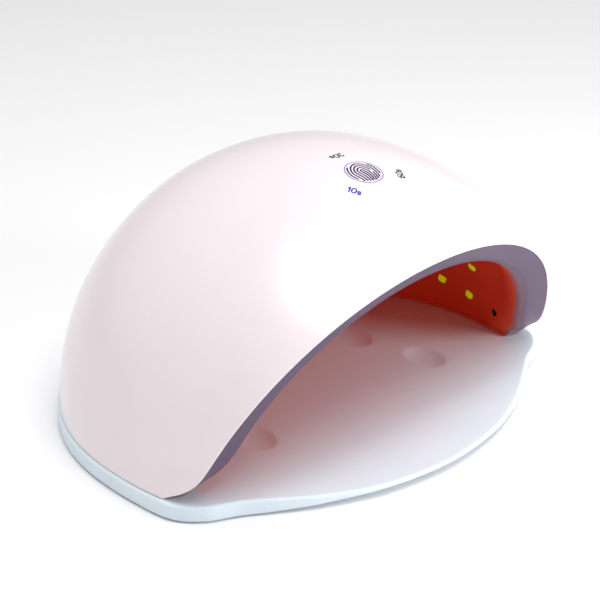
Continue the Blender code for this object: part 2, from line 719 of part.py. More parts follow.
def build_strip(name, material, angles, run):
    """A bent circuit strip that follows the back of the liner."""
    low_angle, high_angle = angles
    low_y, high_y = run
    distance = LINER_WALL + STRIP_GAP + STRIP_THICKNESS
    length_steps = 5
    angle_steps = max(4, round((high_angle - low_angle) / STRIP_FACET_DEGREES))
    rows = []
    for i in range(length_steps + 1):
        y = low_y + (high_y - low_y) * i / length_steps
        row = []
        for j in range(angle_steps + 1):
            angle = math.radians(low_angle + (high_angle - low_angle) * j / angle_steps)
            row.append(offset_point(cavity_point, angle, y, distance))
        rows.append(row)
    bm = bmesh.new()
    sheet(bm, rows)
    centre = sum((f.calc_center_median() for f in bm.faces), Vector()) / len(bm.faces)
    bm.faces.ensure_lookup_table()
    middle = bm.faces[len(bm.faces) // 2]
    if middle.normal.dot(centre - Vector((0, -0.01, HEAD_Z))) < 0:
        bmesh.ops.reverse_faces(bm, faces=bm.faces)
    solidify(add(name, bm, material), STRIP_THICKNESS)


def build_strips(material):
    for name, angles, run in STRIP_AREAS:
        build_strip(name, material, angles, run)


# ---- Electronics -------------------------------------------------------------------------------
def build_board(boards, chips, metals, plastics):
    box("control_board", (0, BOARD_Y, BOARD_Z + BOARD_SIZE[2] / 2), BOARD_SIZE, boards)
    top = BOARD_Z + BOARD_SIZE[2] + GAP
    for name, x, y, size in CHIPS:
        box(name, (x, y, top + size[2] / 2), size, chips)
    cylinder("smoothing_capacitor", (*CAPACITOR_PLACE, top), (0, 0, 1), CAPACITOR_RADIUS,
             CAPACITOR_HEIGHT, metals, 16)
    profile = [(0, INDICATOR_HEIGHT), (INDICATOR_RADIUS * 0.64, INDICATOR_HEIGHT * 0.9),
               (INDICATOR_RADIUS, INDICATOR_HEIGHT * 0.56), (INDICATOR_RADIUS, 0), (0, 0)]
    front = BOARD_Y - BOARD_SIZE[1] / 2 + BOARD_EDGE_MARGIN
    for name, degrees in INDICATORS:
        x = INDICATOR_DISTANCE * math.cos(math.radians(degrees))
        y = max(front, ICON_Y + INDICATOR_DISTANCE * math.sin(math.radians(degrees)))
        turned(f"indicator_led_{name}", profile, Matrix.Translation((x, y, top)), plastics, 12)


def build_touch_spot(metals):
    """The touch electrode lies under the printed spot, on a spring from the board."""
    normal = outward(cover_point, math.pi / 2, ICON_Y)
    face = cover_point(math.pi / 2, ICON_Y) - normal * (COVER_WALL + TOUCH_CLEARANCE)
    cylinder("touch_electrode", face, -normal, TOUCH_RADIUS, TOUCH_THICKNESS, metals, 28)
    low = BOARD_Z + BOARD_SIZE[2] + GAP + WIRE_RADIUS
    high = face.z - TOUCH_THICKNESS - SPRING_TOP_GAP
    per_turn = 9
    steps = SPRING_TURNS * per_turn
    points = []
    for i in range(steps + 1):
        angle = 2 * math.pi * i / per_turn
        points.append((SPRING_RADIUS * math.cos(angle), ICON_Y + SPRING_RADIUS * math.sin(angle),
                       low + (high - low) * i / steps))
    spring = tube("touch_spring", points, metals)
    spring.data.bevel_depth = SPRING_WIRE_RADIUS


def build_jack(plastics, metals):
    z = jack_axis_z()
    face_y = COVER_BACK_Y - JACK_FACE_INSET
    body = box("dc_jack_housing", (0, face_y - JACK_BODY[1] / 2, z), JACK_BODY, plastics)
    inside = 0.001
    nose = cylinder("jack_nose_tool", (0, face_y - inside, z), (0, 1, 0), JACK_NOSE_RADIUS,
                    inside + JACK_NOSE_LENGTH, None, 28)
    boolean(body, nose, "UNION")
    bottom_y = face_y - JACK_BORE_DEPTH
    bore = cylinder("jack_bore_cutter", (0, bottom_y, z), (0, 1, 0), JACK_BORE_RADIUS,
                    2 * JACK_BORE_DEPTH, None, 24)
    boolean(body, bore)
    cylinder("dc_jack_pin", (0, bottom_y + GAP, z), (0, 1, 0), JACK_PIN_RADIUS, JACK_PIN_LENGTH,
             metals, 12)


def between_shells(angle, y, share):
    """A point in the space between the liner's back and the cover's inner face."""
    inner = offset_point(cavity_point, angle, y, LINER_WALL)
    outer = cover_point(angle, y, COVER_WALL)
    return inner.lerp(outer, share)


def build_wires(red, black):
    """Supply wires up the back of the liner, and one wire to each side's lamps."""
    board_back = BOARD_Y + BOARD_SIZE[1] / 2
    board_mid = BOARD_Z + BOARD_SIZE[2] / 2
    jack_top = jack_axis_z() + JACK_BODY[2] / 2
    jack_y = COVER_BACK_Y - JACK_FACE_INSET - JACK_BODY[1] / 2
    start_y, end_y = SUPPLY_WIRE_RUN
    for name, side, material in (("supply_wire_positive", 1, red),
                                 ("supply_wire_negative", -1, black)):
        x = side * SUPPLY_WIRE_X
        points = [(x, jack_y, jack_top + GAP), (x, jack_y, jack_top + INLET_WIRE_RISE)]
        for i in range(WIRE_STEPS + 1):
            y = start_y + (end_y - start_y) * i / WIRE_STEPS
            height = cover_height(y) - COVER_WALL - SUPPLY_WIRE_DEPTH
            points.append((x, y, HEAD_Z + height))
        points.append((x, board_back + BOARD_WIRE_RUN, board_mid + BOARD_WIRE_DROP))
        points.append((x, board_back + GAP, board_mid))
        tube(name, points, material)
    start_y = BOARD_Y + LAMP_WIRE_START
    high, low = LAMP_WIRE_DEGREES
    for side in (1, -1):
        points = [(side * (BOARD_SIZE[0] / 2 + GAP), start_y, board_mid)]
        for i in range(WIRE_STEPS + 1):
            degrees = high + (low - high) * i / WIRE_STEPS
            y = start_y - LAMP_WIRE_DRIFT * i / WIRE_STEPS
            point = between_shells(math.radians(degrees), y, LAMP_WIRE_SHARE)
            points.append((side * point.x, point.y, point.z))
        tube(f"lamp_wire_{side_name(side)}", points, red)


def main():
    start_clean()
    cover_plastic = make_material("cover_pale_pink_gloss", (0.93, 0.86, 0.88), 0.22)
    liner_plastic = make_material("liner_pink_satin", (0.78, 0.55, 0.55), 0.35)
    tray_plastic = make_material("tray_white_satin", (0.90, 0.93, 0.95), 0.35)
    frame_plastic = make_material("frame_white_matte", (0.85, 0.85, 0.86), 0.55)
    rubber = make_material("feet_grey_rubber", (0.20, 0.20, 0.21), 0.80)
    magnet_steel = make_material("magnet_nickel", (0.70, 0.70, 0.70), 0.25, 1.0)
    screw_steel = make_material("screw_steel", (0.62, 0.62, 0.64), 0.35, 1.0)
    phosphor = make_material("lamp_yellow_phosphor", (0.85, 0.80, 0.02), 0.25)
    board = make_material("board_green", (0.04, 0.22, 0.10), 0.45)
    strip = make_material("strip_white", (0.88, 0.88, 0.86), 0.50)
    black = make_material("black_plastic", (0.03, 0.03, 0.03), 0.40)
    bright_metal = make_material("contact_metal", (0.80, 0.76, 0.62), 0.30, 1.0)
    indicator = make_material("indicator_blue", (0.10, 0.20, 0.85), 0.20)
    red_wire = make_material("wire_red", (0.60, 0.03, 0.02), 0.45)
    build_tray(tray_plastic)
    build_feet_and_magnets(rubber, magnet_steel)
    build_cover(cover_plastic)
    build_liner(liner_plastic)
    build_frame(frame_plastic)
    build_screws(screw_steel)
    build_lamps(phosphor)
    build_sensors(black)
    build_strips(strip)
    build_board(board, black, bright_metal, indicator)
    build_touch_spot(bright_metal)
    build_jack(black, bright_metal)
    build_wires(red_wire, black)


main()
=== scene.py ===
"""Looks for the UV LED nail lamp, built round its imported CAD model.

Metres, +Z up, the mouth faces -Y, x = 0 is the plane of symmetry. The shells, the tray and the
small parts in view are made again as fine meshes on the same curves as the CAD; the parts shut
away inside the head stay CAD meshes and get finished materials.
"""

import math

import bmesh
import bpy
import numpy as np
from mathutils import Matrix, Vector


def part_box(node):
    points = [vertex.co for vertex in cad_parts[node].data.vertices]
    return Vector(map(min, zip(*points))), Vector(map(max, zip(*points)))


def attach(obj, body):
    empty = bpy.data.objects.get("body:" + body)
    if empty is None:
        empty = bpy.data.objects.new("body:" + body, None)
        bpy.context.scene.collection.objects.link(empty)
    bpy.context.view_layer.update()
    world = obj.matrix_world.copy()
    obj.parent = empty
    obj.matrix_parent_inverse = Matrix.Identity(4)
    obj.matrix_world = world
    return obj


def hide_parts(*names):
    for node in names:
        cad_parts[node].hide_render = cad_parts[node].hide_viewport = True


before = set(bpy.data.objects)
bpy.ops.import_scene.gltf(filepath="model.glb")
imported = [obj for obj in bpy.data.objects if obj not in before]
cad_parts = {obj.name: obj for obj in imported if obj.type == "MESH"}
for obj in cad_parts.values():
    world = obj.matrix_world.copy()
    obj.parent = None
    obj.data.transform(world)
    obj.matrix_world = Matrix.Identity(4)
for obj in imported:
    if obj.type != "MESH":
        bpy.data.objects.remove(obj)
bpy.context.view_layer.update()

HEAD, TRAY = "lamp_head", "finger_tray"
MM = 0.001

# ---- Shape, from the frame where the frame has it ----------------------------------------------
cover_low, cover_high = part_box("outer_cover")
tray_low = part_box("base_tray")[0]
frame_low, frame_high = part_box("bottom_frame")
HEAD_Z = cover_low.z                     # underside of the head
FOOT_STAND = tray_low.z
GAP = 0.3 * MM                           # air between solids that touch
SEAM_Z = HEAD_Z - GAP                    # the tray's top under the head

BACK_TRIM = 0.4 * MM                     # the CAD shells stop this far short of their last point
COVER_BACK_Y = cover_high.y + BACK_TRIM
COVER_HALF_WIDTH = cover_high.x
COVER_WIDTH_CENTRE_Y = -0.0069
COVER_WIDTH_FRONT_RADIUS = 0.1041
COVER_WIDTH_POWER = 2.18
COVER_HEIGHT = cover_high.z - HEAD_Z
COVER_HEIGHT_CENTRE_Y = -0.0094
COVER_HEIGHT_FRONT_RADIUS = 0.0995
COVER_HEIGHT_POWER = 2.14
COVER_WALL = 2.2 * MM
COVER_RIM_WALL = 0.9 * MM                # the wall is rebated for the liner's edge
REBATE_DEPTH = 1.7 * MM
EDGE_ROUND = 0.2 * MM

MOUTH_FOOT_Y = -0.0460
MOUTH_LEAN = -0.40
MOUTH_CORNER_DEPTH = 0.0105
MOUTH_CORNER_HEIGHT = 0.0056
MOUTH_CORNER_POWER = 1.4

LIP_HALF_WIDTH = 0.0780
LIP_HEIGHT = 0.0670
LIP_SETBACK = 0.0010
LIP_APEX_SETBACK = 0.0020
LIP_FOOT_SPREAD = 0.0125
LIP_FOOT_HEIGHT = 0.0090
LIP_FOOT_ADVANCE = 0.0052
LIP_FOOT_ADVANCE_HEIGHT = 0.0035
LIP_ROUND = 3.0 * MM
CAVITY_BACK_Y = 0.0615
CAVITY_HALF_WIDTH = 0.0862
CAVITY_WIDTH_CENTRE_Y = -0.0150
CAVITY_WIDTH_FRONT_RADIUS = 0.0900
CAVITY_HEIGHT = 0.0760
CAVITY_HEIGHT_CENTRE_Y = -0.0095
CAVITY_HEIGHT_FRONT_RADIUS = 0.1137
CAVITY_POWER = 2.2
CAVITY_BLEND = 0.0180
CAVITY_FOOT_BLEND = 0.0025
LINER_WALL = 2.0 * MM
BAND_WALL = 1.0 * MM
BAND_INSET = 1.2 * MM                    # from the cover's skin to the band's outer edge
BAND_SETBACK = 0.25 * MM

TRAY_PROUD = 1.23 * MM
TRAY_TOP_ROUND = 1.1 * MM
TRAY_FOOT_ROUND = 0.25 * MM
TRAY_FRONT_POINTS = (
    (0.0000, -0.0840), (0.0290, -0.0802), (0.0515, -0.0713), (0.0655, -0.0630),
    (0.0780, -0.0548), (0.0895, -0.0490), (0.0973, -0.0400), (0.1002, -0.0256),
)
LOBE_START_Y = -0.0540
LOBE_END_Y = -0.0840
LOBE_DROP = 2.0 * MM
LOBE_LIFT = 2.5 * MM
DIMPLE_DEPTH = 0.9 * MM
DIMPLE_RADII = (8.0 * MM, 11.5 * MM)
DIMPLE_CENTRES = ((0.0465, -0.0260), (0.0370, 0.0070), (0.0140, 0.0220))
DIMPLE_SOFTNESS = 0.06 * MM
TRAY_END_RUN = 12.0 * MM                 # how far the outline heads straight back at its end
PEG_PLACE = (0.0905, 0.0160)
PEG_RADIUS = 1.8 * MM
PEG_HEIGHT = 1.95 * MM
PEG_HOLE = 2.4 * MM
RECESS_TURN = 0.4                        # radians that the screws' cross recesses stand askew
RECESS_SIZE = (2.6 * MM, 0.45 * MM, 1.2 * MM)

LAMP_FACE = 4.2 * MM                     # side of the yellow square
LAMP_ROLL = math.radians(-20.6)          # the squares stand askew on the wall
LAMP_RECESS = 0.5 * MM
WINDOW_SIDE = 4.7 * MM
SENSOR_HOLE = 1.75 * MM
ICON_Y = -0.0345
ICON_RADIUS = 7.0 * MM
LABELS = (("10s", 13.3 * MM, 211), ("30s", 14.0 * MM, 90), ("60s", 13.7 * MM, 333))
LABEL_HEIGHT = 2.7 * MM
SIGN_TURN = math.radians(15)
RIDGE_WIDTH = 0.62 * MM
RING_WIDTH = 0.42 * MM
STROKE_WIDTH = 0.52 * MM
PRINT_TOP = 0.035 * MM                   # how far print stands on the dome
PRINT_DEPTH = -0.05 * MM                 # where its underside lies
INLET_HOLE = 4.6 * MM                    # radius of the hole through the cover
INLET_BARREL = 3.9 * MM                  # radii of the barrel and of its socket
INLET_SOCKET = 3.1 * MM
INLET_DEPTH = 0.0110

CAMERA_PLACE = (-0.3543, -0.3834, 0.2963)
CAMERA_TARGET = (0.0039, 0.0035, 0.0366)
CAMERA_LENS = 88.49                      # millimetres, on a sensor 36 mm wide
SKY_BRIGHT_SIDE = (0.10, 0.35, 0.93)
SKY_STRENGTHS = (0.14, 0.64)             # on the dim side and on the bright side

COLUMNS = 200                            # facets over the arch
ROWS = 84                                # facets from the mouth to the back


# ---- Curves of the lamp ------------------------------------------------------------------------
def superellipse(y, centre, front_radius, back_y, size, power):
    radius = np.where(y > centre, back_y - centre, front_radius)
    ratio = np.clip(np.abs((y - centre) / radius), 0.0, 1.0)
    return size * (1.0 - ratio ** power) ** (1.0 / power)


def cover_half_width(y):
    return superellipse(y, COVER_WIDTH_CENTRE_Y, COVER_WIDTH_FRONT_RADIUS, COVER_BACK_Y,
                        COVER_HALF_WIDTH, COVER_WIDTH_POWER)


def cover_height(y):
    return superellipse(y, COVER_HEIGHT_CENTRE_Y, COVER_HEIGHT_FRONT_RADIUS, COVER_BACK_Y,
                        COVER_HEIGHT, COVER_HEIGHT_POWER)


def stack(x, y, z):
    return np.stack(np.broadcast_arrays(x, y, z), axis=-1)


def cover_point(angle, y, inset=0.0):
    return stack((cover_half_width(y) - inset) * np.cos(angle), y,
                 HEAD_Z + (cover_height(y) - inset) * np.sin(angle))


def cavity_point(angle, y):
    width = superellipse(y, CAVITY_WIDTH_CENTRE_Y, CAVITY_WIDTH_FRONT_RADIUS, CAVITY_BACK_Y,
                         CAVITY_HALF_WIDTH, CAVITY_POWER)
    height = superellipse(y, CAVITY_HEIGHT_CENTRE_Y, CAVITY_HEIGHT_FRONT_RADIUS, CAVITY_BACK_Y,
                          CAVITY_HEIGHT, CAVITY_POWER)
    return stack(width * np.cos(angle), y, HEAD_Z + height * np.sin(angle))


def mouth_y(height):
    up = np.maximum(0.0, height) / MOUTH_CORNER_HEIGHT
    corner = np.exp(-(up ** MOUTH_CORNER_POWER))
    return MOUTH_FOOT_Y + MOUTH_LEAN * height + MOUTH_CORNER_DEPTH * corner


def rim_y(angle, inset=0.0):
    """Where the mouth cuts a line along the cover at this angle."""
    y = np.full(np.shape(angle), MOUTH_FOOT_Y)
    for _ in range(60):
        y = 0.6 * y + 0.4 * mouth_y((cover_height(y) - inset) * np.sin(angle))
    return y


def lip_y(height):
    """Where the lip stands, at a height above the head's underside."""
    setback = LIP_SETBACK + LIP_APEX_SETBACK * height / LIP_HEIGHT
    advance = LIP_FOOT_ADVANCE * np.exp(-((height / LIP_FOOT_ADVANCE_HEIGHT) ** 2))
    return mouth_y(height) + setback - advance


def lip_point(angle):
    height = LIP_HEIGHT * np.sin(angle)
    spread = LIP_FOOT_SPREAD * np.exp(-((height / LIP_FOOT_HEIGHT) ** 2))
    x = LIP_HALF_WIDTH * np.cos(angle) + np.copysign(spread, np.cos(angle))
    return stack(x, lip_y(height), HEAD_Z + height)


def liner_point(angle, y):
    lip = lip_point(angle)
    low = np.exp(-(((lip[..., 2] - HEAD_Z) / LIP_FOOT_HEIGHT) ** 2))
    blend = CAVITY_BLEND + (CAVITY_FOOT_BLEND - CAVITY_BLEND) * low
    along = np.clip((y - lip[..., 1]) / blend, 0.0, 1.0)
    weight = (along * along * (3.0 - 2.0 * along))[..., None]
    point = lip + (cavity_point(angle, y) - lip) * weight
    point[..., 1] = y
    return point


def outward(surface, angle, y):
    """Unit normals of a surface(angle, y), away from the lamp's middle."""
    step = 1e-5
    across = surface(angle + step, y) - surface(angle - step, y)
    along = surface(angle, y + step) - surface(angle, y - step)
    normal = np.cross(along, across)
    return normal / np.linalg.norm(normal, axis=-1, keepdims=True)


def arch_angles(extra):
    """Angles over the arch, crowded at the feet, with some extra ones right at the edges."""
    t = np.arange(1, COLUMNS) / COLUMNS
    crowding = 0.80
    even = math.pi * (t - crowding * np.sin(2 * math.pi * t) / (2 * math.pi))
    low = np.array(extra)
    even = even[(even > low[-1] * 1.2) & (even < math.pi - low[-1] * 1.2)]
    return np.concatenate([low, even, math.pi - low[::-1]])


def run_shares():
    """Shares of the way from the mouth to the back; the steps shrink towards the back."""
    t = np.arange(ROWS) / ROWS
    tail = 1.0 - np.array([0.0085, 0.0055, 0.0032, 0.0015, 0.0006])
    t = np.concatenate([t, tail])
    return 1.0 - (1.0 - t) ** 2.3


# ---- Mesh helpers ------------------------------------------------------------------------------
def finish_mesh(name, bm, materials, sharp_degrees=40.0):
    bmesh.ops.recalc_face_normals(bm, faces=bm.faces)
    mesh = bpy.data.meshes.new(name)
    bm.to_mesh(mesh)
    bm.free()
    for material in materials:
        mesh.materials.append(material)
    mesh.shade_smooth()
    mesh.set_sharp_from_angle(angle=math.radians(sharp_degrees))
    obj = bpy.data.objects.new(name, mesh)
    bpy.context.scene.collection.objects.link(obj)
    return obj


def add_rows(bm, rows, wrap=False):
    """Quads between rows of points."""
    grid = [[bm.verts.new(p) for p in row] for row in rows]
    for a, b in zip(grid, grid[1:]):
        count = len(a) if wrap else len(a) - 1
        for j in range(count):
            k = (j + 1) % len(a)
            bm.faces.new((a[j], a[k], b[k], b[j]))
    return grid


def add_shell(bm, face_rows, edge_rows, back_rows):
    """A closed wall: a face and a back with the same rows, joined round their first row by the
    edge rows, and flat along the two ends of the rows."""
    rows = list(face_rows[::-1]) + list(edge_rows) + list(back_rows)
    grid = add_rows(bm, rows)
    count = len(face_rows)
    for end in (0, -1):
        face = [grid[count - 1 - i][end] for i in range(count)]
        back = [grid[count + len(edge_rows) + i][end] for i in range(count)]
        for i in range(count - 1):
            bm.faces.new((face[i], face[i + 1], back[i + 1], back[i]))
        loop = [face[0]] + [grid[count + k][end] for k in range(len(edge_rows))] + [back[0]]
        bm.faces.new(loop)
    for row in (grid[0], grid[-1]):
        bmesh.ops.pointmerge(bm, verts=row, merge_co=sum((v.co for v in row), Vector()) / len(row))
    bmesh.ops.dissolve_degenerate(bm, dist=1e-7, edges=bm.edges)


def grid_normals(rows):
    """Unit normals of a grid of points; the two end columns stay level."""
    down = np.gradient(rows, axis=0)
    across = np.gradient(rows, axis=1)
    normal = np.cross(down, across)
    normal[:, 0, 2] = 0.0
    normal[:, -1, 2] = 0.0
    length = np.linalg.norm(normal, axis=-1, keepdims=True)
    normal = normal / np.maximum(length, 1e-12)
    normal[-1] = normal[-2]
    return normal


def apply_modifiers(obj):
    bpy.context.view_layer.update()
    graph = bpy.context.evaluated_depsgraph_get()
    mesh = bpy.data.meshes.new_from_object(obj.evaluated_get(graph))
    obj.modifiers.clear()
    obj.data = mesh


def cut(obj, tool, sharp_degrees=40.0):
    """Cut a tool's shape out of a piece; the tool is then removed."""
    modifier = obj.modifiers.new("cut", "BOOLEAN")
    modifier.operation = "DIFFERENCE"
    modifier.solver = "EXACT"
    modifier.object = tool
    apply_modifiers(obj)
    bpy.data.objects.remove(tool, do_unlink=True)
    obj.data.set_sharp_from_angle(angle=math.radians(sharp_degrees))


def add_bevel(obj, width, segments):
    bevel = obj.modifiers.new("soft_edges", "BEVEL")
    bevel.width = width
    bevel.segments = segments
    bevel.limit_method = "ANGLE"
    bevel.angle_limit = math.radians(60)
    apply_modifiers(obj)


def turn_to(axis):
    return Vector((0, 0, 1)).rotation_difference(Vector(axis)).to_matrix().to_4x4()


def add_turned(bm, profile, place, sides=40):
    """A closed solid of revolution about the place's Z; the profile starts and ends at r = 0."""
    rings = []
    for radius, z in profile[1:-1]:
        ring = []
        for i in range(sides):
            turn = 2 * math.pi * i / sides
            ring.append(place @ Vector((radius * math.cos(turn), radius * math.sin(turn), z)))
        rings.append(ring)
    grid = add_rows(bm, rings, wrap=True)
    for ring, (_, z) in ((grid[0], profile[0]), (grid[-1], profile[-1])):
        tip = bm.verts.new(place @ Vector((0, 0, z)))
        for i in range(sides):
            bm.faces.new((ring[i], ring[(i + 1) % sides], tip))


def rounded_square(side, corner, steps=5):
    """Outline of a square with rounded corners."""
    points = []
    half = side / 2 - corner
    for turn, (sx, sy) in enumerate(((1, 1), (-1, 1), (-1, -1), (1, -1))):
        for i in range(steps + 1):
            angle = math.pi / 2 * (turn + i / steps)
            points.append((sx * half + corner * math.cos(angle),
                           sy * half + corner * math.sin(angle)))
    return points


def add_prism(bm, outline, levels, place):
    """A flat outline lofted through (z, scale) levels, closed at both ends."""
    rings = [[place @ Vector((x * scale, y * scale, z)) for x, y in outline]
             for z, scale in levels]
    grid = add_rows(bm, rings, wrap=True)
    bm.faces.new(grid[0])
    bm.faces.new(grid[-1])


def surface_place(angle, y, roll=0.0, back=0.0):
    """A frame on the cavity wall: +Z points into the cavity, and +X runs towards the back."""
    normal = Vector(outward(cavity_point, angle, y))
    origin = Vector(cavity_point(angle, y)) + normal * back
    z_axis = -normal
    x_axis = Vector((0, 1, 0))
    x_axis = (x_axis - z_axis * x_axis.dot(z_axis)).normalized()
    y_axis = z_axis.cross(x_axis)
    place = Matrix((x_axis, y_axis, z_axis)).transposed().to_4x4()
    place.translation = origin
    return place @ Matrix.Rotation(roll, 4, "Z")


# ---- Materials ---------------------------------------------------------------------------------
def new_material(name):
    material = bpy.data.materials.new(name)
    material.use_nodes = True
    nodes = material.node_tree.nodes
    shader = nodes["Principled BSDF"]
    coordinates = nodes.new("ShaderNodeTexCoord")
    return material, shader, coordinates


def link(material, source, target):
    material.node_tree.links.new(source, target)


def add_noise(material, coordinates, scale, detail=3.0):
    noise = material.node_tree.nodes.new("ShaderNodeTexNoise")
    noise.inputs["Scale"].default_value = scale
    noise.inputs["Detail"].default_value = detail
    link(material, coordinates.outputs["Object"], noise.inputs["Vector"])
    return noise


def add_ramp(material, source, stops):
    ramp = material.node_tree.nodes.new("ShaderNodeValToRGB")
    elements = ramp.color_ramp.elements
    while len(elements) < len(stops):
        elements.new(0.5)
    for element, (position, colour) in zip(elements, stops):
        element.position = position
        element.color = (*colour, 1.0)
    link(material, source, ramp.inputs["Fac"])
    return ramp


def paint(material, shader, ramp):
    link(material, ramp.outputs["Color"], shader.inputs["Base Color"])


def vary_roughness(material, shader, source, low, high):
    spread = material.node_tree.nodes.new("ShaderNodeMapRange")
    spread.inputs["To Min"].default_value = low
    spread.inputs["To Max"].default_value = high
    link(material, source, spread.inputs["Value"])
    link(material, spread.outputs["Result"], shader.inputs["Roughness"])


def add_bump(material, shader, source, strength, distance):
    bump = material.node_tree.nodes.new("ShaderNodeBump")
    bump.inputs["Strength"].default_value = strength
    bump.inputs["Distance"].default_value = distance
    link(material, source, bump.inputs["Height"])
    link(material, bump.outputs["Normal"], shader.inputs["Normal"])


def surface_finish(name, dark, light, roughness, cloud_scale=60.0, grain_scale=2500.0,
                   bump=0.1, bump_depth=0.02 * MM, metallic=0.0, coat=0.0, coat_roughness=0.1):
    """Base for most finishes: two close colours in soft clouds, fine grain, uneven gloss."""
    material, shader, coordinates = new_material(name)
    clouds = add_noise(material, coordinates, cloud_scale, 4.0)
    ramp = add_ramp(material, clouds.outputs["Fac"], ((0.30, dark), (0.70, light)))
    paint(material, shader, ramp)
    grain = add_noise(material, coordinates, grain_scale, 2.0)
    vary_roughness(material, shader, grain.outputs["Fac"], roughness * 0.85, roughness * 1.15)
    add_bump(material, shader, grain.outputs["Fac"], bump, bump_depth)
    shader.inputs["Metallic"].default_value = metallic
    if coat:
        shader.inputs["Coat Weight"].default_value = coat
        shader.inputs["Coat Roughness"].default_value = coat_roughness
    return material


def cover_finish():
    """Pale pink moulded plastic with a clear, glossy skin and a faint pearl."""
    material = surface_finish("cover_pearl_pink", (0.86, 0.765, 0.795), (0.88, 0.785, 0.815), 0.26,
                              cloud_scale=35.0, bump=0.04, coat=0.35, coat_roughness=0.22)
    shader = material.node_tree.nodes["Principled BSDF"]
    shader.inputs["Sheen Weight"].default_value = 0.15
    shader.inputs["Sheen Roughness"].default_value = 0.4
    return material


def liner_finish():
    """Liner colour by how far a point lies behind the lip, in one satin moulding: a dark grey band
    that is painted shade, a lighter painted highlight on the lip's rounding, then orange-red inside
    the lip, partly its own colour and partly painted bounce light, that darkens towards the back as
    painted shade deep in the cavity.
    """
    material, shader, coordinates = new_material("liner_painted_shade_to_red")
    tree = material.node_tree
    run = tree.nodes.new("ShaderNodeAttribute")
    run.attribute_name = "run_behind_lip"
    clouds = add_noise(material, coordinates, 90.0, 4.0)
    soften = tree.nodes.new("ShaderNodeMath")
    soften.operation = "MULTIPLY_ADD"
    link(material, clouds.outputs["Fac"], soften.inputs[0])
    soften.inputs[1].default_value = 0.03
    link(material, run.outputs["Fac"], soften.inputs[2])
    # Painted light: the band's dark grey-mauve stands for shade, the lighter zone on the lip for a
    # highlight, and the darker red towards the back for shade deep in the cavity; the red itself is
    # partly the liner's colour and partly painted bounce light.
    band_painted_shade, lip_painted_highlight = (0.088, 0.056, 0.104), (0.250, 0.140, 0.170)
    red, deep_red_painted_shade = (0.640, 0.066, 0.024), (0.560, 0.036, 0.010)
    ramp = add_ramp(material, soften.outputs["Value"], (
        (0.00, band_painted_shade), (0.205, band_painted_shade), (0.27, lip_painted_highlight), (0.38, lip_painted_highlight),
        (0.46, red), (0.65, red), (1.00, deep_red_painted_shade)))
    paint(material, shader, ramp)
    grain = add_noise(material, coordinates, 1800.0, 2.0)
    vary_roughness(material, shader, grain.outputs["Fac"], 0.36, 0.50)
    add_bump(material, shader, grain.outputs["Fac"], 0.08, 0.02 * MM)
    shader.inputs["Specular IOR Level"].default_value = 0.30
    # Painted glow: the liner is no lamp, yet it gives off its own band and cavity colours faintly to
    # brighten the cavity.
    link(material, ramp.outputs["Color"], shader.inputs["Emission Color"])
    shader.inputs["Emission Strength"].default_value = 0.09
    return material


def tray_finish():
    """White satin plastic with a fine moulded texture."""
    material, shader, coordinates = new_material("tray_white_satin")
    tree = material.node_tree
    clouds = add_noise(material, coordinates, 45.0, 4.0)
    ramp = add_ramp(material, clouds.outputs["Fac"], (
        (0.30, (0.715, 0.820, 0.895)), (0.70, (0.740, 0.840, 0.910))))
    paint(material, shader, ramp)
    grain = tree.nodes.new("ShaderNodeTexVoronoi")
    grain.inputs["Scale"].default_value = 1600.0
    link(material, coordinates.outputs["Object"], grain.inputs["Vector"])
    vary_roughness(material, shader, grain.outputs["Distance"], 0.34, 0.46)
    add_bump(material, shader, grain.outputs["Distance"], 0.10, 0.03 * MM)
    return material


def phosphor_finish():
    """Yellow phosphor under a clear skin."""
    material, shader, coordinates = new_material("lamp_phosphor")
    speckle = add_noise(material, coordinates, 4500.0, 2.0)
    ramp = add_ramp(material, speckle.outputs["Fac"], (
        (0.30, (0.58, 0.64, 0.001)), (0.70, (0.68, 0.74, 0.004))))
    paint(material, shader, ramp)
    link(material, ramp.outputs["Color"], shader.inputs["Emission Color"])
    shader.inputs["Emission Strength"].default_value = 0.30
    vary_roughness(material, shader, speckle.outputs["Fac"], 0.22, 0.34)
    shader.inputs["Coat Weight"].default_value = 0.4
    shader.inputs["Coat Roughness"].default_value = 0.08
    return material


def print_finish(name, dark, light, glow=0.0):
    """Printed ink: slightly uneven, satin."""
    material = surface_finish(name, dark, light, 0.55, cloud_scale=700.0, bump=0.05)
    shader = material.node_tree.nodes["Principled BSDF"]
    shader.inputs["Specular IOR Level"].default_value = 0.15
    if glow:
        shader.inputs["Emission Color"].default_value = (*light, 1.0)
        shader.inputs["Emission Strength"].default_value = glow
    return material


def brushed_metal(name, dark, light, roughness):
    """Metal with fine lines along X."""
    material, shader, coordinates = new_material(name)
    stretch = material.node_tree.nodes.new("ShaderNodeMapping")
    stretch.inputs["Scale"].default_value = (150.0, 4000.0, 4000.0)
    link(material, coordinates.outputs["Object"], stretch.inputs["Vector"])
    lines = material.node_tree.nodes.new("ShaderNodeTexNoise")
    lines.inputs["Scale"].default_value = 1.0
    lines.inputs["Detail"].default_value = 3.0
    link(material, stretch.outputs["Vector"], lines.inputs["Vector"])
    ramp = add_ramp(material, lines.outputs["Fac"], ((0.25, dark), (0.75, light)))
    paint(material, shader, ramp)
    vary_roughness(material, shader, lines.outputs["Fac"], roughness * 0.8, roughness * 1.25)
    shader.inputs["Metallic"].default_value = 1.0
    return material


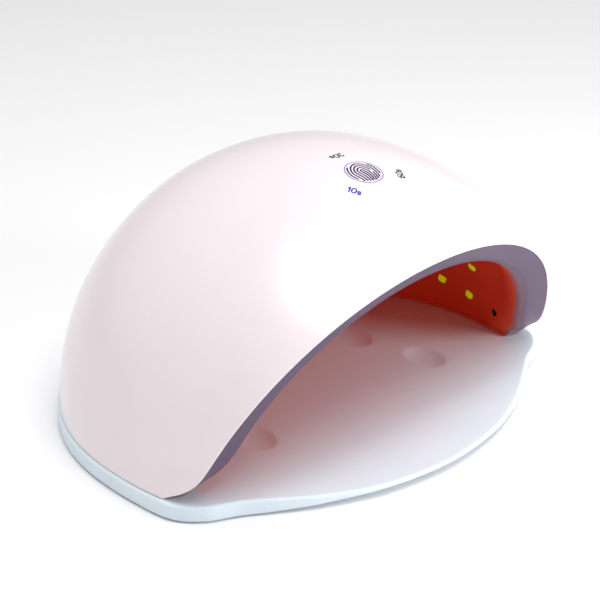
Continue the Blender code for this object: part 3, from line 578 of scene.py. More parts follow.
def board_finish(name, mask, track, density):
    """Solder mask with copper tracks showing faintly through it."""
    material, shader, coordinates = new_material(name)
    tracks = material.node_tree.nodes.new("ShaderNodeTexVoronoi")
    tracks.feature = "DISTANCE_TO_EDGE"
    tracks.inputs["Scale"].default_value = density
    link(material, coordinates.outputs["Object"], tracks.inputs["Vector"])
    ramp = add_ramp(material, tracks.outputs["Distance"], (
        (0.00, track), (0.045, track), (0.07, mask), (1.00, mask)))
    paint(material, shader, ramp)
    vary_roughness(material, shader, tracks.outputs["Distance"], 0.30, 0.45)
    add_bump(material, shader, tracks.outputs["Distance"], 0.15, 0.02 * MM)
    return material


# ---- The head's shells -------------------------------------------------------------------------
def edge_inset(height):
    """How far a wall draws in near its flat underside, so that its edge is round."""
    low = np.clip(height, 0.0, EDGE_ROUND)
    return EDGE_ROUND - np.sqrt(EDGE_ROUND ** 2 - (EDGE_ROUND - low) ** 2)


def build_cover(material):
    angles = arch_angles([0.0, 0.0005, 0.0013, 0.0024, 0.0040])[None, :]
    start = rim_y(angles)
    near = np.array([0.0, 0.12, 0.25, 0.5, 0.9, 1.3])[:, None] * MM
    near = EDGE_ROUND + near
    shares = run_shares()[:, None]
    far_start = start + near[-1, 0] + REBATE_DEPTH
    end_y = COVER_BACK_Y - 1e-6
    ys = np.concatenate([start + near, far_start + (end_y - far_start) * shares])
    wide = np.broadcast_to(angles, ys.shape)
    skin = cover_point(wide, ys)
    normal = outward(cover_point, wide, ys)
    normal[:, (0, -1), 2] = 0.0
    rounding = edge_inset(skin[..., 2] - HEAD_Z)[..., None]
    face = skin - normal * rounding
    depth = np.where(ys - start < REBATE_DEPTH, COVER_RIM_WALL, COVER_WALL)[..., None]
    back = skin - normal * (depth - rounding)
    edge = []
    for i in range(9):
        turn = math.pi * i / 8
        half = COVER_RIM_WALL / 2
        depth_here = half - half * math.cos(turn)
        ahead = EDGE_ROUND * (1.0 - math.sin(turn))
        y = start + ahead
        skin_here = cover_point(angles, y)
        normal_here = outward(cover_point, angles, y)
        normal_here[:, (0, -1), 2] = 0.0
        lift = edge_inset(skin_here[..., 2] - HEAD_Z)[..., None]
        squeeze = np.clip(depth_here, lift, COVER_RIM_WALL - lift)
        edge.append((skin_here - normal_here * squeeze)[0])
    bm = bmesh.new()
    add_shell(bm, face, edge, back)
    cover = finish_mesh("cover_shell", bm, [material])
    low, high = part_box("dc_jack_housing")
    middle = (low + high) / 2
    bm = bmesh.new()
    length = 12.0 * MM
    add_turned(bm, [(0, 0), (INLET_HOLE, 0), (INLET_HOLE, length), (0, length)],
               Matrix.Translation((middle.x, COVER_BACK_Y - 0.008, middle.z)) @ turn_to((0, 1, 0)),
               48)
    cut(cover, finish_mesh("cover_hole_tool", bm, []))
    return cover


def bead_profile(height):
    """How far the liner's foot stands out into the cavity: a bead with a groove above it."""
    heights = np.array([0.0, 0.15, 0.75, 0.95, 1.10, 1.60, 1.90]) * MM
    stand = np.array([0.25, 0.45, 0.45, 0.30, -0.55, -0.55, 0.0]) * MM
    return np.interp(height, heights, stand)


def build_liner(material):
    extra = [0.0, 0.0022, 0.005, 0.0080, 0.0105, 0.0120, 0.0135, 0.0150, 0.0170, 0.0200, 0.0250]
    angles = arch_angles(extra)
    outer_y = rim_y(angles, BAND_INSET) + BAND_SETBACK
    outer = cover_point(angles, outer_y, BAND_INSET)
    lip = lip_point(angles)
    width = np.linalg.norm(outer - lip, axis=-1, keepdims=True)
    radius = np.minimum(LIP_ROUND, 0.45 * width)
    band_end = lip + (outer - lip) * (radius / width)
    after_y = lip[:, 1] + radius[:, 0]
    after = liner_point(angles, after_y)
    corner = 0.35 * MM
    rows, run = [], []
    for t in (0.0, 0.02, 0.06, 0.15, 0.3, 0.45, 0.6, 0.75, 0.88):
        start = outer + (lip - outer) * (corner / width)
        rows.append(start + (band_end - start) * t)
        run.append(np.full(len(angles), 0.0))
    steps = 16
    for i in range(steps + 1):
        t = i / steps
        rows.append(band_end * (1 - t) ** 2 + lip * 2 * t * (1 - t) + after * t * t)
        run.append(radius[:, 0] * t)
    shares = run_shares()[1:]
    end_y = CAVITY_BACK_Y - 1e-6
    for share in shares:
        y = after_y + (end_y - after_y) * share
        rows.append(liner_point(angles, y))
        run.append(y - lip[:, 1])
    face = np.array(rows)
    run = np.array(run)
    normal = -grid_normals(face)
    flip = np.sign((normal[len(rows) // 2, COLUMNS // 2] @ np.array([0.0, 0.0, 1.0])))
    normal = normal * flip
    height = face[..., 2] - HEAD_Z
    bead_weight = np.clip(run / (9.0 * MM), 0.0, 1.0)
    stand = bead_profile(height) * bead_weight - edge_inset(height) * (1.0 - bead_weight)
    thick = BAND_WALL + (LINER_WALL - BAND_WALL) * np.clip(run / (4 * MM), 0.0, 1.0)
    back = face + normal * thick[..., None]
    face = face - normal * stand[..., None]
    edge = []
    for i in range(1, 6):
        turn = math.pi / 2 * i / 6
        towards_rim = (outer - lip) / width * corner * math.sin(turn)
        backwards = normal[0] * corner * (1.0 - math.cos(turn))
        edge.append(face[0] + towards_rim + backwards)
    edge.append(face[0] + (outer - lip) / width * corner + normal[0] * (BAND_WALL * 0.9))
    bm = bmesh.new()
    add_shell(bm, face, edge, back)
    liner = finish_mesh("liner_shell", bm, [material])
    cutters = bmesh.new()
    for name, angle, y in lamp_places():
        place = surface_place(angle, y, LAMP_ROLL if math.cos(angle) > 0 else -LAMP_ROLL)
        add_prism(cutters, rounded_square(WINDOW_SIDE, 1.1 * MM), ((-0.005, 1), (0.003, 1)), place)
    for name, angle, y in sensor_places():
        place = surface_place(angle, y)
        add_turned(cutters, [(0, -0.005), (SENSOR_HOLE, -0.005), (SENSOR_HOLE, 0.003), (0, 0.003)],
                   place, 32)
    cut(liner, finish_mesh("liner_window_tool", cutters, []))
    mesh = liner.data
    co = np.empty(len(mesh.vertices) * 3)
    mesh.vertices.foreach_get("co", co)
    co = co.reshape(-1, 3)
    behind = co[:, 1] - lip_y(np.maximum(0.0, co[:, 2] - HEAD_Z))
    attribute = mesh.attributes.new("run_behind_lip", "FLOAT", "POINT")
    run_share = np.clip(0.2 + behind / (20.0 * MM), 0.0, 1.0)
    attribute.data.foreach_set("value", run_share.astype(np.float32))
    return liner


def node_angle(name):
    """(angle, y) on the cavity wall nearest to the middle of a CAD node."""
    low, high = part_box(name)
    middle = (low + high) / 2
    y = middle.y
    for _ in range(12):
        side = cavity_point(np.array([0.0, math.pi / 2]), np.array([y, y]))
        width, height = side[0][0], side[1][2] - HEAD_Z
        angle = math.atan2((middle.z - HEAD_Z) / height, middle.x / width)
        normal = outward(cavity_point, np.array(angle), np.array(y))
        on_wall = cavity_point(np.array(angle), np.array(y))
        gap = (np.array(middle) - on_wall) @ normal
        y = middle.y - normal[1] * gap
    return angle, y


def nodes_like(prefix):
    return sorted(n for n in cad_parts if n.startswith(prefix))


def round_node(name):
    """Middle, radius, bottom and top of an upright round CAD node."""
    low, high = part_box(name)
    return (low + high) / 2, (high.x - low.x) / 2, low.z, high.z


def lamp_places():
    return [(n, *node_angle(n)) for n in nodes_like("led_")
            if not n.startswith(("led_strip", "led_driver"))]


def sensor_places():
    return [(n, *node_angle(n)) for n in nodes_like("infrared_")]


def build_lamps(phosphor, ceramic):
    """Each lamp is a ceramic package with a yellow, slightly domed face."""
    for name, angle, y in lamp_places():
        roll = LAMP_ROLL if math.cos(angle) > 0 else -LAMP_ROLL
        place = surface_place(angle, y, roll, LAMP_RECESS)
        bm = bmesh.new()
        side = LAMP_FACE
        add_prism(bm, rounded_square(side, 0.45 * MM), (
            (-1.10 * MM, 0.97), (-1.05 * MM, 1.0), (-0.30 * MM, 1.0), (-0.22 * MM, 0.985)), place)
        ceramic_faces = len(bm.faces)
        dome = [(-0.20 * MM, 0.94), (-0.02 * MM, 0.94), (0.08 * MM, 0.90)]
        dome += [(0.08 * MM + 0.28 * MM * math.sin(math.pi / 2 * k / 6),
                  0.90 * math.cos(math.pi / 2 * k / 6 * 0.93)) for k in range(1, 7)]
        add_prism(bm, rounded_square(side, 1.35 * MM), dome, place)
        bm.faces.ensure_lookup_table()
        for face in bm.faces[ceramic_faces:]:
            face.material_index = 1
        lamp = finish_mesh(name.replace("led_", "lamp_"), bm, [ceramic, phosphor], 50)
        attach(lamp, HEAD)
        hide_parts(name)


def build_sensors(material):
    for name, angle, y in sensor_places():
        bm = bmesh.new()
        rim, r, face, rise = 1.68 * MM, 1.15 * MM, -1.6 * MM, 0.5 * MM
        profile = [(0, -0.0045), (rim * 0.9, -0.0045), (rim, -0.0042), (rim, -0.35 * MM),
                   (rim - 0.10 * MM, -0.25 * MM), (rim - 0.22 * MM, -0.35 * MM), (r, face)]
        profile += [(r * math.cos(math.pi / 2 * k / 6), face + rise * math.sin(math.pi / 2 * k / 6))
                    for k in range(1, 6)]
        profile.append((0, face + rise))
        add_turned(bm, profile, surface_place(angle, y), 32)
        lens = finish_mesh(f"{name}_lens", bm, [material], 50)
        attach(lens, HEAD)
        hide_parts(name)


# ---- The tray ----------------------------------------------------------------------------------
def smooth_run(points, steps):
    """Catmull-Rom curve through the points, for a half outline that starts at x = 0."""
    first = (-points[1][0], points[1][1])
    last = (points[-1][0], points[-1][1] + TRAY_END_RUN)
    knots = [Vector(p) for p in (first, *points, last)]
    run = []
    for a, b, c, d in zip(knots, knots[1:], knots[2:], knots[3:]):
        for i in range(steps):
            t = i / steps
            run.append(0.5 * (2 * b + (c - a) * t + (2 * a - 5 * b + 4 * c - d) * t ** 2
                              + (3 * b - a - 3 * c + d) * t ** 3))
    return [(p.x, p.y) for p in run]


def footprint(half_width, y, inset):
    """Points of a footprint on the right side, moved inwards along its normal."""
    step = 1e-5
    slope = (half_width(y + step) - half_width(y - step)) / (2 * step)
    length = np.hypot(1.0, slope)
    return half_width(y) - inset / length, y + inset * slope / length


def tray_outline(count):
    """Points evenly spaced round the tray, anticlockwise from the middle of the lobe."""
    right = smooth_run(TRAY_FRONT_POINTS, 16)
    start_y = TRAY_FRONT_POINTS[-1][1]
    depth = COVER_BACK_Y - start_y
    steps = 120
    for i in range(steps):
        y = start_y + depth * math.sin(math.pi / 2 * i / steps)
        x, y_out = footprint(cover_half_width, y, -TRAY_PROUD)
        right.append((float(x), float(y_out)))
    right.append((0.0, COVER_BACK_Y + TRAY_PROUD))
    loop = np.array(right + [(-x, y) for x, y in reversed(right[1:-1])])
    closed = np.vstack([loop, loop[:1]])
    length = np.concatenate([[0], np.cumsum(np.linalg.norm(np.diff(closed, axis=0), axis=1))])
    wanted = np.linspace(0, length[-1], count, endpoint=False)
    return np.column_stack([np.interp(wanted, length, closed[:, k]) for k in (0, 1)])


def loop_normals(loop):
    """Outward 2D normals of a closed loop that runs anticlockwise."""
    tangent = np.roll(loop, -1, axis=0) - np.roll(loop, 1, axis=0)
    normal = np.column_stack([tangent[:, 1], -tangent[:, 0]])
    return normal / np.linalg.norm(normal, axis=1, keepdims=True)


def lobe_fall(y):
    t = np.clip((LOBE_START_Y - y) / (LOBE_START_Y - LOBE_END_Y), 0.0, 1.0)
    return t * t * (3.0 - 2.0 * t)


def dimple_depth(x, y):
    """Depth of the finger hollows, each part of an ellipsoid with a soft edge."""
    depth = np.zeros_like(x)
    for cx, cy in DIMPLE_CENTRES:
        for side in (1, -1):
            r2 = ((x - side * cx) / DIMPLE_RADII[0]) ** 2 + ((y - cy) / DIMPLE_RADII[1]) ** 2
            bowl = 2.0 * DIMPLE_DEPTH * np.sqrt(np.clip(1.0 - r2, 0.0, None)) - DIMPLE_DEPTH
            bowl = 0.5 * (bowl + np.sqrt(bowl ** 2 + DIMPLE_SOFTNESS ** 2))
            depth = np.maximum(depth, np.where(r2 < 1.0, bowl, 0.0))
    return depth


def tray_top(x, y):
    return SEAM_Z - LOBE_DROP * lobe_fall(y) - dimple_depth(x, y)


def tray_floor(x, y):
    return FOOT_STAND + LOBE_LIFT * lobe_fall(y)


def build_tray(material):
    count, rings = 440, 92
    outline = tray_outline(count)
    normal = loop_normals(outline)
    centre = np.array([0.0, -0.002])

    def ring(inset, share, surface, lift):
        flat = outline - normal * inset
        flat = centre + (flat - centre) * share
        z = surface(flat[:, 0], flat[:, 1]) + lift
        return np.column_stack([flat, z])

    rows = []
    inner = TRAY_TOP_ROUND
    for i in range(1, rings + 1):
        rows.append(ring(inner, i / rings, tray_top, 0.0))
    for i in range(1, 7):
        turn = math.pi / 2 * i / 6
        rows.append(ring(inner * (1 - math.sin(turn)), 1.0, tray_top,
                         -inner * (1 - math.cos(turn))))
    low = TRAY_FOOT_ROUND
    for i in range(5):
        turn = math.pi / 2 * i / 4
        rows.append(ring(low * (1 - math.cos(turn)), 1.0, tray_floor, low * (1 - math.sin(turn))))
    for i in range(1, 24):
        rows.append(ring(low, 1 - i / 24, tray_floor, 0.0))
    bm = bmesh.new()
    grid = add_rows(bm, rows, wrap=True)
    for row, surface in ((grid[0], tray_top), (grid[-1], tray_floor)):
        z = float(surface(np.array([centre[0]]), np.array([centre[1]]))[0])
        tip = bm.verts.new((centre[0], centre[1], z))
        for i in range(count):
            bm.faces.new((row[i], row[(i + 1) % count], tip))
    tray = finish_mesh("tray_plate", bm, [material])
    tools = bmesh.new()
    for name in nodes_like("foot_") + nodes_like("tray_magnet_"):
        middle, radius, _, top = round_node(name)
        radius += GAP
        top += GAP
        rim = 0.4 * MM
        add_turned(tools, [(0, -0.002), (radius + rim, -0.002), (radius + rim, FOOT_STAND),
                           (radius, FOOT_STAND + rim), (radius, top), (0, top)],
                   Matrix.Translation((middle.x, middle.y, 0)), 40)
    cut(tray, finish_mesh("tray_pocket_tool", tools, []))
    return tray


def build_pegs(material):
    """Locating pegs that the head drops over."""
    x, y = PEG_PLACE
    for side, name in ((1, "right"), (-1, "left")):
        bm = bmesh.new()
        r, h, soft, root = PEG_RADIUS, PEG_HEIGHT, 0.5 * MM, -0.0005
        profile = [(0, root), (r + 0.3 * MM, root), (r + 0.3 * MM, 0.0),
                   (r + 0.08 * MM, 0.1 * MM), (r, 0.3 * MM), (r, h - soft)]
        profile += [(r - soft + soft * math.cos(math.pi / 2 * k / 5),
                     h - soft + soft * math.sin(math.pi / 2 * k / 5)) for k in range(1, 6)]
        profile.append((0, h))
        add_turned(bm, profile, Matrix.Translation((side * x, y, SEAM_Z)), 36)
        peg = finish_mesh(f"locating_peg_{name}", bm, [material], 50)
        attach(peg, TRAY)


def build_feet(material):
    """Rubber feet with a rounded edge and two shallow rings."""
    for name in nodes_like("foot_"):
        middle, r, _, top = round_node(name)
        soft = 0.35 * MM
        profile = [(0, top), (r - 0.2 * MM, top), (r, top - 0.2 * MM), (r, soft)]
        profile += [(r - soft + soft * math.cos(a), soft - soft * math.sin(a))
                    for a in (math.pi / 8, math.pi / 4, 3 * math.pi / 8, math.pi / 2)]
        for ring_r in (r * 0.62, r * 0.34):
            profile += [(ring_r + 0.3 * MM, 0.0), (ring_r + 0.15 * MM, 0.2 * MM),
                        (ring_r - 0.15 * MM, 0.2 * MM), (ring_r - 0.3 * MM, 0.0)]
        profile.append((0, 0.0))
        bm = bmesh.new()
        add_turned(bm, profile, Matrix.Translation((middle.x, middle.y, 0)), 48)
        foot = finish_mesh(f"rubber_{name}", bm, [material], 50)
        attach(foot, TRAY)
        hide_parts(name)


def build_magnets(material):
    for name in nodes_like("tray_magnet_") + nodes_like("head_magnet_"):
        middle, r, low, high = round_node(name)
        soft = 0.2 * MM
        profile = [(0, low), (r - soft, low), (r, low + soft), (r, high - soft),
                   (r - soft, high), (0, high)]
        bm = bmesh.new()
        add_turned(bm, profile, Matrix.Translation((middle.x, middle.y, 0)), 40)
        disc = finish_mesh(f"disc_{name}", bm, [material])
        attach(disc, TRAY if name.startswith("tray") else HEAD)
        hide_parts(name)


# ---- The head's underside ----------------------------------------------------------------------
def liner_half_width(y):
    y = np.asarray(y, float)
    return liner_point(np.zeros_like(y), y)[..., 0]


def frame_outline():
    """Outline of the U-shaped plate between the two shells."""
    front, gap = frame_low.y, 0.35 * MM
    cover_end, liner_end = COVER_BACK_Y, CAVITY_BACK_Y
    outside, inside = [], []
    steps = 70
    for i in range(steps):
        run = math.sin(math.pi / 2 * i / steps)
        out = footprint(cover_half_width, front + (cover_end - front) * run, COVER_WALL + gap)
        into = footprint(liner_half_width, front + (liner_end - front) * run, -(LINER_WALL + gap))
        outside.append((float(out[0]), float(out[1])))
        inside.append((float(into[0]), float(into[1])))
    right = outside + [(0.0, cover_end - COVER_WALL - gap)]
    outer_run = right + [(-x, y) for x, y in reversed(outside)]
    middle = (0.0, liner_end + LINER_WALL + gap)
    return outer_run + [(-x, y) for x, y in inside] + [middle] + list(reversed(inside))


def build_frame(material):
    bm = bmesh.new()
    low, high = frame_low.z, frame_high.z
    rows = [[Vector((x, y, z)) for x, y in frame_outline()] for z in (low, high)]
    grid = add_rows(bm, rows, wrap=True)
    bm.faces.new(grid[0])
    bm.faces.new(grid[1])
    plate = finish_mesh("underside_plate", bm, [material])
    tools = bmesh.new()

    def hole(x, y, radius, top, sink=0.0):
        add_turned(tools, [(0, -0.002), (radius + sink, -0.002), (radius + sink, low + sink),
                           (radius, low + sink + 0.05 * MM), (radius, top), (0, top)],
                   Matrix.Translation((x, y, 0)), 36)

    for name in nodes_like("head_magnet_"):
        a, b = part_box(name)
        hole((a.x + b.x) / 2, (a.y + b.y) / 2, (b.x - a.x) / 2 + 0.25 * MM, high + 0.002, 0.15 * MM)
    for name in nodes_like("screw_"):
        a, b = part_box(name)
        hole((a.x + b.x) / 2, (a.y + b.y) / 2, (b.x - a.x) / 2 + 0.25 * MM, low + 1.8 * MM)
    for side in (1, -1):
        hole(side * PEG_PLACE[0], PEG_PLACE[1], PEG_HOLE, high + 0.002, 0.2 * MM)
    cut(plate, finish_mesh("plate_hole_tool", tools, []))
    add_bevel(plate, 0.2 * MM, 2)
    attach(plate, HEAD)
    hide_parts("bottom_frame")


def build_screws(material):
    """Pan-head screws with a cross recess."""
    for name in nodes_like("screw_"):
        middle, head, base, top = round_node(name)
        shank = 1.2 * MM
        profile = [(0, base)]
        profile += [(head * math.sin(math.pi / 2 * k / 5),
                     base + 0.5 * MM * (1 - math.cos(math.pi / 2 * k / 5)))
                    for k in range(1, 6)]
        profile += [(head, base + 1.2 * MM), (shank, base + 1.2 * MM)]
        z, pitch = base + 1.5 * MM, 0.5 * MM
        while z < top - 1.2 * MM:
            profile += [(shank, z), (shank * 0.78, z + pitch / 2)]
            z += pitch
        profile += [(shank * 0.8, top - 0.8 * MM), (shank * 0.3, top), (0, top)]
        bm = bmesh.new()
        add_turned(bm, profile, Matrix.Translation((middle.x, middle.y, 0)), 30)
        screw = finish_mesh(f"cross_head_{name}", bm, [material], 30)
        for turn in (RECESS_TURN, RECESS_TURN + math.pi / 2):
            tool = bmesh.new()
            place = (Matrix.Translation((middle.x, middle.y, base)) @ Matrix.Rotation(turn, 4, "Z")
                     @ Matrix.Diagonal((*RECESS_SIZE, 1.0)))
            bmesh.ops.create_cube(tool, size=1.0, matrix=place)
            cut(screw, finish_mesh("recess_tool", tool, []), sharp_degrees=30)
        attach(screw, HEAD)
        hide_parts(name)


# ---- Printed sign on the dome ------------------------------------------------------------------
def dome_z(x, y):
    return HEAD_Z + float(cover_height(np.array(y))) * math.sqrt(
        max(0.0, 1.0 - (x / float(cover_half_width(np.array(y)))) ** 2))


def add_ribbon(bm, points, width, closed=False):
    """A thin printed line on the dome through points (x, y), with rounded ends."""
    path = [Vector((x, y)) for x, y in points]
    spacing = 0.22 * MM
    fine = []
    pairs = list(zip(path, path[1:] + path[:1])) if closed else list(zip(path, path[1:]))
    for a, b in pairs:
        steps = max(1, round((b - a).length / spacing))
        fine += [a.lerp(b, i / steps) for i in range(steps)]
    if not closed:
        fine.append(path[-1])
    count = len(fine)
    sections = []
    for i, point in enumerate(fine):
        before = fine[(i - 1) % count] if closed or i else fine[i]
        after = fine[(i + 1) % count] if closed or i < count - 1 else fine[i]
        along = (after - before).normalized()
        sections.append((point, Vector((-along.y, along.x)), along, width / 2))
    if not closed:
        ends = []
        for point, side, along, half in (sections[0], sections[-1]):
            sign = -1 if point == fine[0] else 1
            cap = [(point + along * sign * half * math.sin(a), side, along, half * math.cos(a))
                   for a in (math.radians(30), math.radians(60), math.radians(85))]
            ends.append(cap)
        sections = ends[0][::-1] + sections + ends[1]
    rows = []
    for point, side, _, half in sections:
        left, right = point + side * half, point - side * half
        rows.append([Vector((*end, dome_z(*end) + lift)) for end, lift in (
            (left, PRINT_DEPTH), (left, PRINT_TOP), (right, PRINT_TOP), (right, PRINT_DEPTH))])
    grid = [[bm.verts.new(p) for p in row] for row in rows]
    if closed:
        grid.append(grid[0])
    for a, b in zip(grid, grid[1:]):
        for j in range(4):
            k = (j + 1) % 4
            bm.faces.new((a[j], a[k], b[k], b[j]))
    if not closed:
        bm.faces.new(grid[0])
        bm.faces.new(grid[-1])


def ridge_paths():
    """Nested arched ridges in a unit disc: a generic sign for touch, drawn for this part."""
    centre_y, pitch, limit = 0.10, 0.188, 0.88
    paths = []
    for k in range(9):
        radius = pitch * (k + 0.45)
        run = [(-radius, -1.4 + 0.06 * i) for i in range(25)]
        run += [(-radius * math.cos(math.pi * i / 32), centre_y + radius * math.sin(math.pi * i / 32))
                for i in range(33)]
        run += [(radius, centre_y - 0.06 * i) for i in range(1, 26)]
        part = []
        for number, (x, y) in enumerate(run):
            bend = min(0.0, y - 0.05)
            point = Vector((x - 0.42 * bend * bend, y + 0.10 * math.sin(2.2 * x)))
            broken = k in (2, 5) and 62 < number < 66
            if point.length < limit and not broken:
                part.append(point)
                continue
            if len(part) > 3:
                paths.append(part)
            part = []
        if len(part) > 3:
            paths.append(part)
    return paths


def digit_strokes(character):
    """Strokes of a digit, or of a small s, in a box 1 high; returns (strokes, width)."""
    def arc(cx, cy, rx, ry, start, stop, steps=18):
        return [(cx + rx * math.cos(math.radians(start + (stop - start) * i / steps)),
                 cy + ry * math.sin(math.radians(start + (stop - start) * i / steps)))
                for i in range(steps + 1)]

    if character == "1":
        return [[(0.02, 0.78), (0.24, 0.97), (0.24, 0.03)]], 0.34
    if character == "0":
        return [arc(0.34, 0.5, 0.31, 0.47, 90, 450, 30)], 0.68
    if character == "3":
        return [arc(0.28, 0.74, 0.24, 0.23, 150, -80) + arc(0.28, 0.27, 0.28, 0.25, 80, -150)], 0.60
    if character == "6":
        stem = arc(0.56, 0.46, 0.50, 0.52, 100, 180, 10)
        return [stem + arc(0.33, 0.29, 0.27, 0.26, 180, 540, 26)], 0.66
    upper = arc(0.24, 0.47, 0.19, 0.15, 30, 240, 12)
    return [upper + arc(0.24, 0.17, 0.20, 0.15, 70, -150, 12)], 0.46


def label_lines(text, distance, degrees, height):
    """Strokes of a label on the dome, whose top points at the middle of the sign."""
    centre = Vector((distance * math.cos(math.radians(degrees)),
                     ICON_Y + distance * math.sin(math.radians(degrees))))
    up = Vector((0.0, ICON_Y)) - centre
    up.normalize()
    along = Vector((up.y, -up.x))
    gap = 0.16
    parts, width = [], 0.0
    for character in text:
        strokes, wide = digit_strokes(character)
        parts += [[(x + width, y) for x, y in stroke] for stroke in strokes]
        width += wide + gap
    width -= gap
    lines = []
    for stroke in parts:
        lines.append([tuple(centre + along * (x - width / 2) * height + up * (y - 0.5) * height)
                      for x, y in stroke])
    return lines


def build_sign(ridge_ink, ring_ink, lit_ink, unlit_ink):
    bm = bmesh.new()
    for path in ridge_paths():
        points = []
        for p in path:
            x = p.x * math.cos(SIGN_TURN) - p.y * math.sin(SIGN_TURN)
            y = p.x * math.sin(SIGN_TURN) + p.y * math.cos(SIGN_TURN)
            points.append((x * ICON_RADIUS, ICON_Y + y * ICON_RADIUS))
        add_ribbon(bm, points, RIDGE_WIDTH)
    ridges = finish_mesh("touch_sign_ridges", bm, [ridge_ink], 60)
    bm = bmesh.new()
    ring = [(ICON_RADIUS * math.cos(2 * math.pi * i / 90),
             ICON_Y + ICON_RADIUS * math.sin(2 * math.pi * i / 90)) for i in range(90)]
    add_ribbon(bm, ring, RING_WIDTH, closed=True)
    circle = finish_mesh("touch_sign_ring", bm, [ring_ink], 60)
    pieces = [ridges, circle]
    for text, distance, degrees in LABELS:
        bm = bmesh.new()
        for line in label_lines(text, distance, degrees, LABEL_HEIGHT):
            add_ribbon(bm, line, STROKE_WIDTH)
        ink = lit_ink if text == "10s" else unlit_ink
        pieces.append(finish_mesh(f"timer_label_{text}", bm, [ink], 60))
    for piece in pieces:
        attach(piece, HEAD)


# ---- Power inlet -------------------------------------------------------------------------------
def build_inlet(black, metal):
    low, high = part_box("dc_jack_housing")
    middle = (low + high) / 2
    back_face = high.y
    place = Matrix.Translation((middle.x, 0, middle.z)) @ turn_to((0, 1, 0))
    bm = bmesh.new()
    deep = back_face - INLET_DEPTH
    profile = [(0, deep), (INLET_BARREL, deep), (INLET_BARREL, back_face - 0.25 * MM),
               (3.75 * MM, back_face - 0.05 * MM), (3.5 * MM, back_face),
               (3.25 * MM, back_face - 0.05 * MM), (INLET_SOCKET, back_face - 0.3 * MM),
               (INLET_SOCKET, deep + 0.0018), (0, deep + 0.0018)]
    add_turned(bm, profile, place, 56)
    body_high = high.y - 2.6 * MM
    barrel = finish_mesh("inlet_barrel", bm, [black], 40)
    bm = bmesh.new()
    size = Vector((high.x - low.x, body_high - low.y, high.z - low.z))
    scale = Matrix.Diagonal((*size, 1.0))
    bmesh.ops.create_cube(bm, size=1.0, matrix=Matrix.Translation(
        (middle.x, low.y + size.y / 2, middle.z)) @ scale)
    body = finish_mesh("inlet_body", bm, [black])
    bm = bmesh.new()
    bore = 3.95 * MM
    add_turned(bm, [(0, deep - 0.0002), (bore, deep - 0.0002), (bore, back_face), (0, back_face)],
               place, 56)
    cut(body, finish_mesh("inlet_bore_tool", bm, []))
    add_bevel(body, 0.3 * MM, 3)
    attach(barrel, HEAD)
    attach(body, HEAD)
    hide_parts("dc_jack_housing")
    pin_low, pin_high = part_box("dc_jack_pin")
    r, tip = (pin_high.x - pin_low.x) / 2, pin_high.y
    profile = [(0, pin_low.y), (r, pin_low.y), (r, tip - 0.5 * MM)]
    profile += [(r * math.cos(math.pi / 2 * k / 5),
                 tip - 0.5 * MM + 0.5 * MM * math.sin(math.pi / 2 * k / 5))
                for k in range(1, 5)]
    profile.append((0, tip))
    bm = bmesh.new()
    add_turned(bm, profile, place, 28)
    pin = finish_mesh("inlet_pin", bm, [metal], 50)
    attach(pin, HEAD)
    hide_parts("dc_jack_pin")


# ---- Parts that stay CAD meshes ----------------------------------------------------------------
def finish_cad_nodes(finishes):
    """Give each CAD node that is still shown a finished material and smooth shading."""
    for name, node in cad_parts.items():
        if node.hide_render:
            continue
        material = next(m for prefix, m in finishes if name.startswith(prefix))
        node.data.materials.clear()
        node.data.materials.append(material)
        node.data.shade_smooth()
        node.data.set_sharp_from_angle(angle=math.radians(35))


# ---- Stage, lights and camera ------------------------------------------------------------------
def build_stage():
    """A pale floor, clear when it is seen from below, so that the underside can be looked at."""
    bm = bmesh.new()
    bmesh.ops.create_grid(bm, x_segments=1, y_segments=1, size=6.0)
    material = surface_finish("studio_floor", (0.91, 0.91, 0.92), (0.92, 0.92, 0.93), 0.7,
                              cloud_scale=2.0, grain_scale=400.0, bump=0.0)
    tree = material.node_tree
    facing = tree.nodes.new("ShaderNodeNewGeometry")
    clear = tree.nodes.new("ShaderNodeBsdfTransparent")
    choose = tree.nodes.new("ShaderNodeMixShader")
    link(material, facing.outputs["Backfacing"], choose.inputs["Fac"])
    link(material, tree.nodes["Principled BSDF"].outputs["BSDF"], choose.inputs[1])
    link(material, clear.outputs["BSDF"], choose.inputs[2])
    link(material, choose.outputs["Shader"], tree.nodes["Material Output"].inputs["Surface"])
    floor = finish_mesh("studio_floor", bm, [material])
    floor.location.z = -0.02 * MM


def area_light(name, place, target, size, power, colour=(1.0, 1.0, 1.0)):
    light = bpy.data.lights.new(name, "AREA")
    light.shape = "DISK"
    light.size = size
    light.energy = power
    light.color = colour
    obj = bpy.data.objects.new(name, light)
    obj.location = place
    obj.rotation_euler = (Vector(target) - Vector(place)).to_track_quat("-Z", "Y").to_euler()
    bpy.context.scene.collection.objects.link(obj)


def build_lights():
    world = bpy.data.worlds.new("studio_air")
    bpy.context.scene.world = world
    world.use_nodes = True
    tree = world.node_tree
    background = tree.nodes["Background"]
    background.inputs["Color"].default_value = (1.0, 1.0, 1.0, 1.0)
    coordinates = tree.nodes.new("ShaderNodeTexCoord")
    towards = tree.nodes.new("ShaderNodeVectorMath")
    towards.operation = "DOT_PRODUCT"
    towards.inputs[1].default_value = SKY_BRIGHT_SIDE
    tree.links.new(coordinates.outputs["Generated"], towards.inputs[0])
    fade = tree.nodes.new("ShaderNodeMapRange")
    fade.inputs["From Min"].default_value = -0.4
    fade.inputs["From Max"].default_value = 0.9
    fade.inputs["To Min"].default_value, fade.inputs["To Max"].default_value = SKY_STRENGTHS
    tree.links.new(towards.outputs["Value"], fade.inputs["Value"])
    tree.links.new(fade.outputs["Result"], background.inputs["Strength"])
    middle = (0.0, 0.0, 0.05)
    area_light("overhead", (-0.12, -0.32, 1.26), middle, 1.1, 12.0)
    area_light("mouth_fill", (0.26, -0.45, 0.17), (0.0, -0.02, 0.02), 0.2, 1.5)


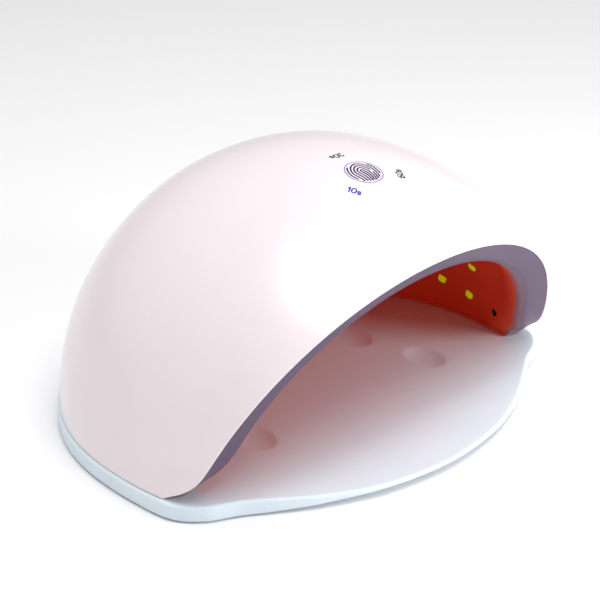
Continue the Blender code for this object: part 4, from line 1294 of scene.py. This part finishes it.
def build_camera():
    camera = bpy.data.cameras.new("camera")
    camera.sensor_width = 36.0
    camera.lens = CAMERA_LENS
    camera.clip_start = 0.01
    obj = bpy.data.objects.new("camera", camera)
    place, target = Vector(CAMERA_PLACE), Vector(CAMERA_TARGET)
    obj.location = place
    obj.rotation_euler = (target - place).to_track_quat("-Z", "Y").to_euler()
    bpy.context.scene.collection.objects.link(obj)
    bpy.context.scene.camera = obj
    bpy.context.scene.view_settings.view_transform = "Standard"


def main():
    cover = build_cover(cover_finish())
    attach(cover, HEAD)
    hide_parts("outer_cover")
    liner = build_liner(liner_finish())
    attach(liner, HEAD)
    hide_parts("inner_liner")
    white = tray_finish()
    tray = build_tray(white)
    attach(tray, TRAY)
    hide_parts("base_tray")
    build_pegs(white)
    black = surface_finish("black_moulded", (0.020, 0.020, 0.022), (0.035, 0.035, 0.038), 0.40,
                           bump=0.3, bump_depth=0.03 * MM)
    rubber = surface_finish("grey_rubber", (0.17, 0.17, 0.18), (0.23, 0.23, 0.24), 0.85,
                            cloud_scale=300.0, bump=0.5, bump_depth=0.05 * MM)
    nickel = brushed_metal("nickel_plate", (0.66, 0.65, 0.62), (0.76, 0.75, 0.72), 0.24)
    steel = brushed_metal("zinc_steel", (0.52, 0.53, 0.55), (0.68, 0.69, 0.72), 0.34)
    brass = brushed_metal("tinned_brass", (0.72, 0.62, 0.40), (0.84, 0.76, 0.55), 0.28)
    can = brushed_metal("can_aluminium", (0.68, 0.68, 0.70), (0.80, 0.80, 0.82), 0.32)
    ceramic = surface_finish("lamp_ceramic", (0.16, 0.13, 0.01), (0.22, 0.18, 0.02), 0.45,
                             cloud_scale=900.0)
    lens_black = surface_finish("infrared_lens", (0.006, 0.003, 0.004), (0.012, 0.005, 0.006), 0.15,
                                cloud_scale=500.0, bump=0.05, coat=0.3)
    plate = surface_finish("plate_white_matte", (0.74, 0.74, 0.76), (0.78, 0.78, 0.80), 0.60,
                           bump=0.5, bump_depth=0.04 * MM)
    build_feet(rubber)
    build_magnets(nickel)
    build_frame(plate)
    build_screws(steel)
    build_lamps(phosphor_finish(), ceramic)
    build_sensors(lens_black)
    build_sign(print_finish("ridge_ink", (0.002, 0.002, 0.050), (0.006, 0.008, 0.110)),
               print_finish("ring_ink", (0.20, 0.19, 0.42), (0.26, 0.25, 0.50)),
               print_finish("lit_ink", (0.015, 0.020, 0.260), (0.030, 0.040, 0.400), glow=0.08),
               print_finish("unlit_ink", (0.010, 0.010, 0.040), (0.020, 0.020, 0.070)))
    build_inlet(black, brass)
    green = board_finish("board_green", (0.010, 0.085, 0.030), (0.030, 0.190, 0.070), 420.0)
    strip = board_finish("strip_white", (0.78, 0.78, 0.76), (0.62, 0.62, 0.60), 380.0)
    indicator = print_finish("indicator_lens", (0.10, 0.18, 0.70), (0.14, 0.24, 0.85), glow=0.4)
    red_wire = surface_finish("wire_red", (0.42, 0.012, 0.010), (0.55, 0.020, 0.016), 0.38)
    finish_cad_nodes((("control_board", green), ("led_strip", strip), ("touch_", brass),
                      ("smoothing_capacitor", can), ("indicator_led", indicator),
                      ("supply_wire_negative", black), ("supply_wire", red_wire),
                      ("lamp_wire", red_wire), ("", black)))
    build_stage()
    build_lights()
    build_camera()


main()
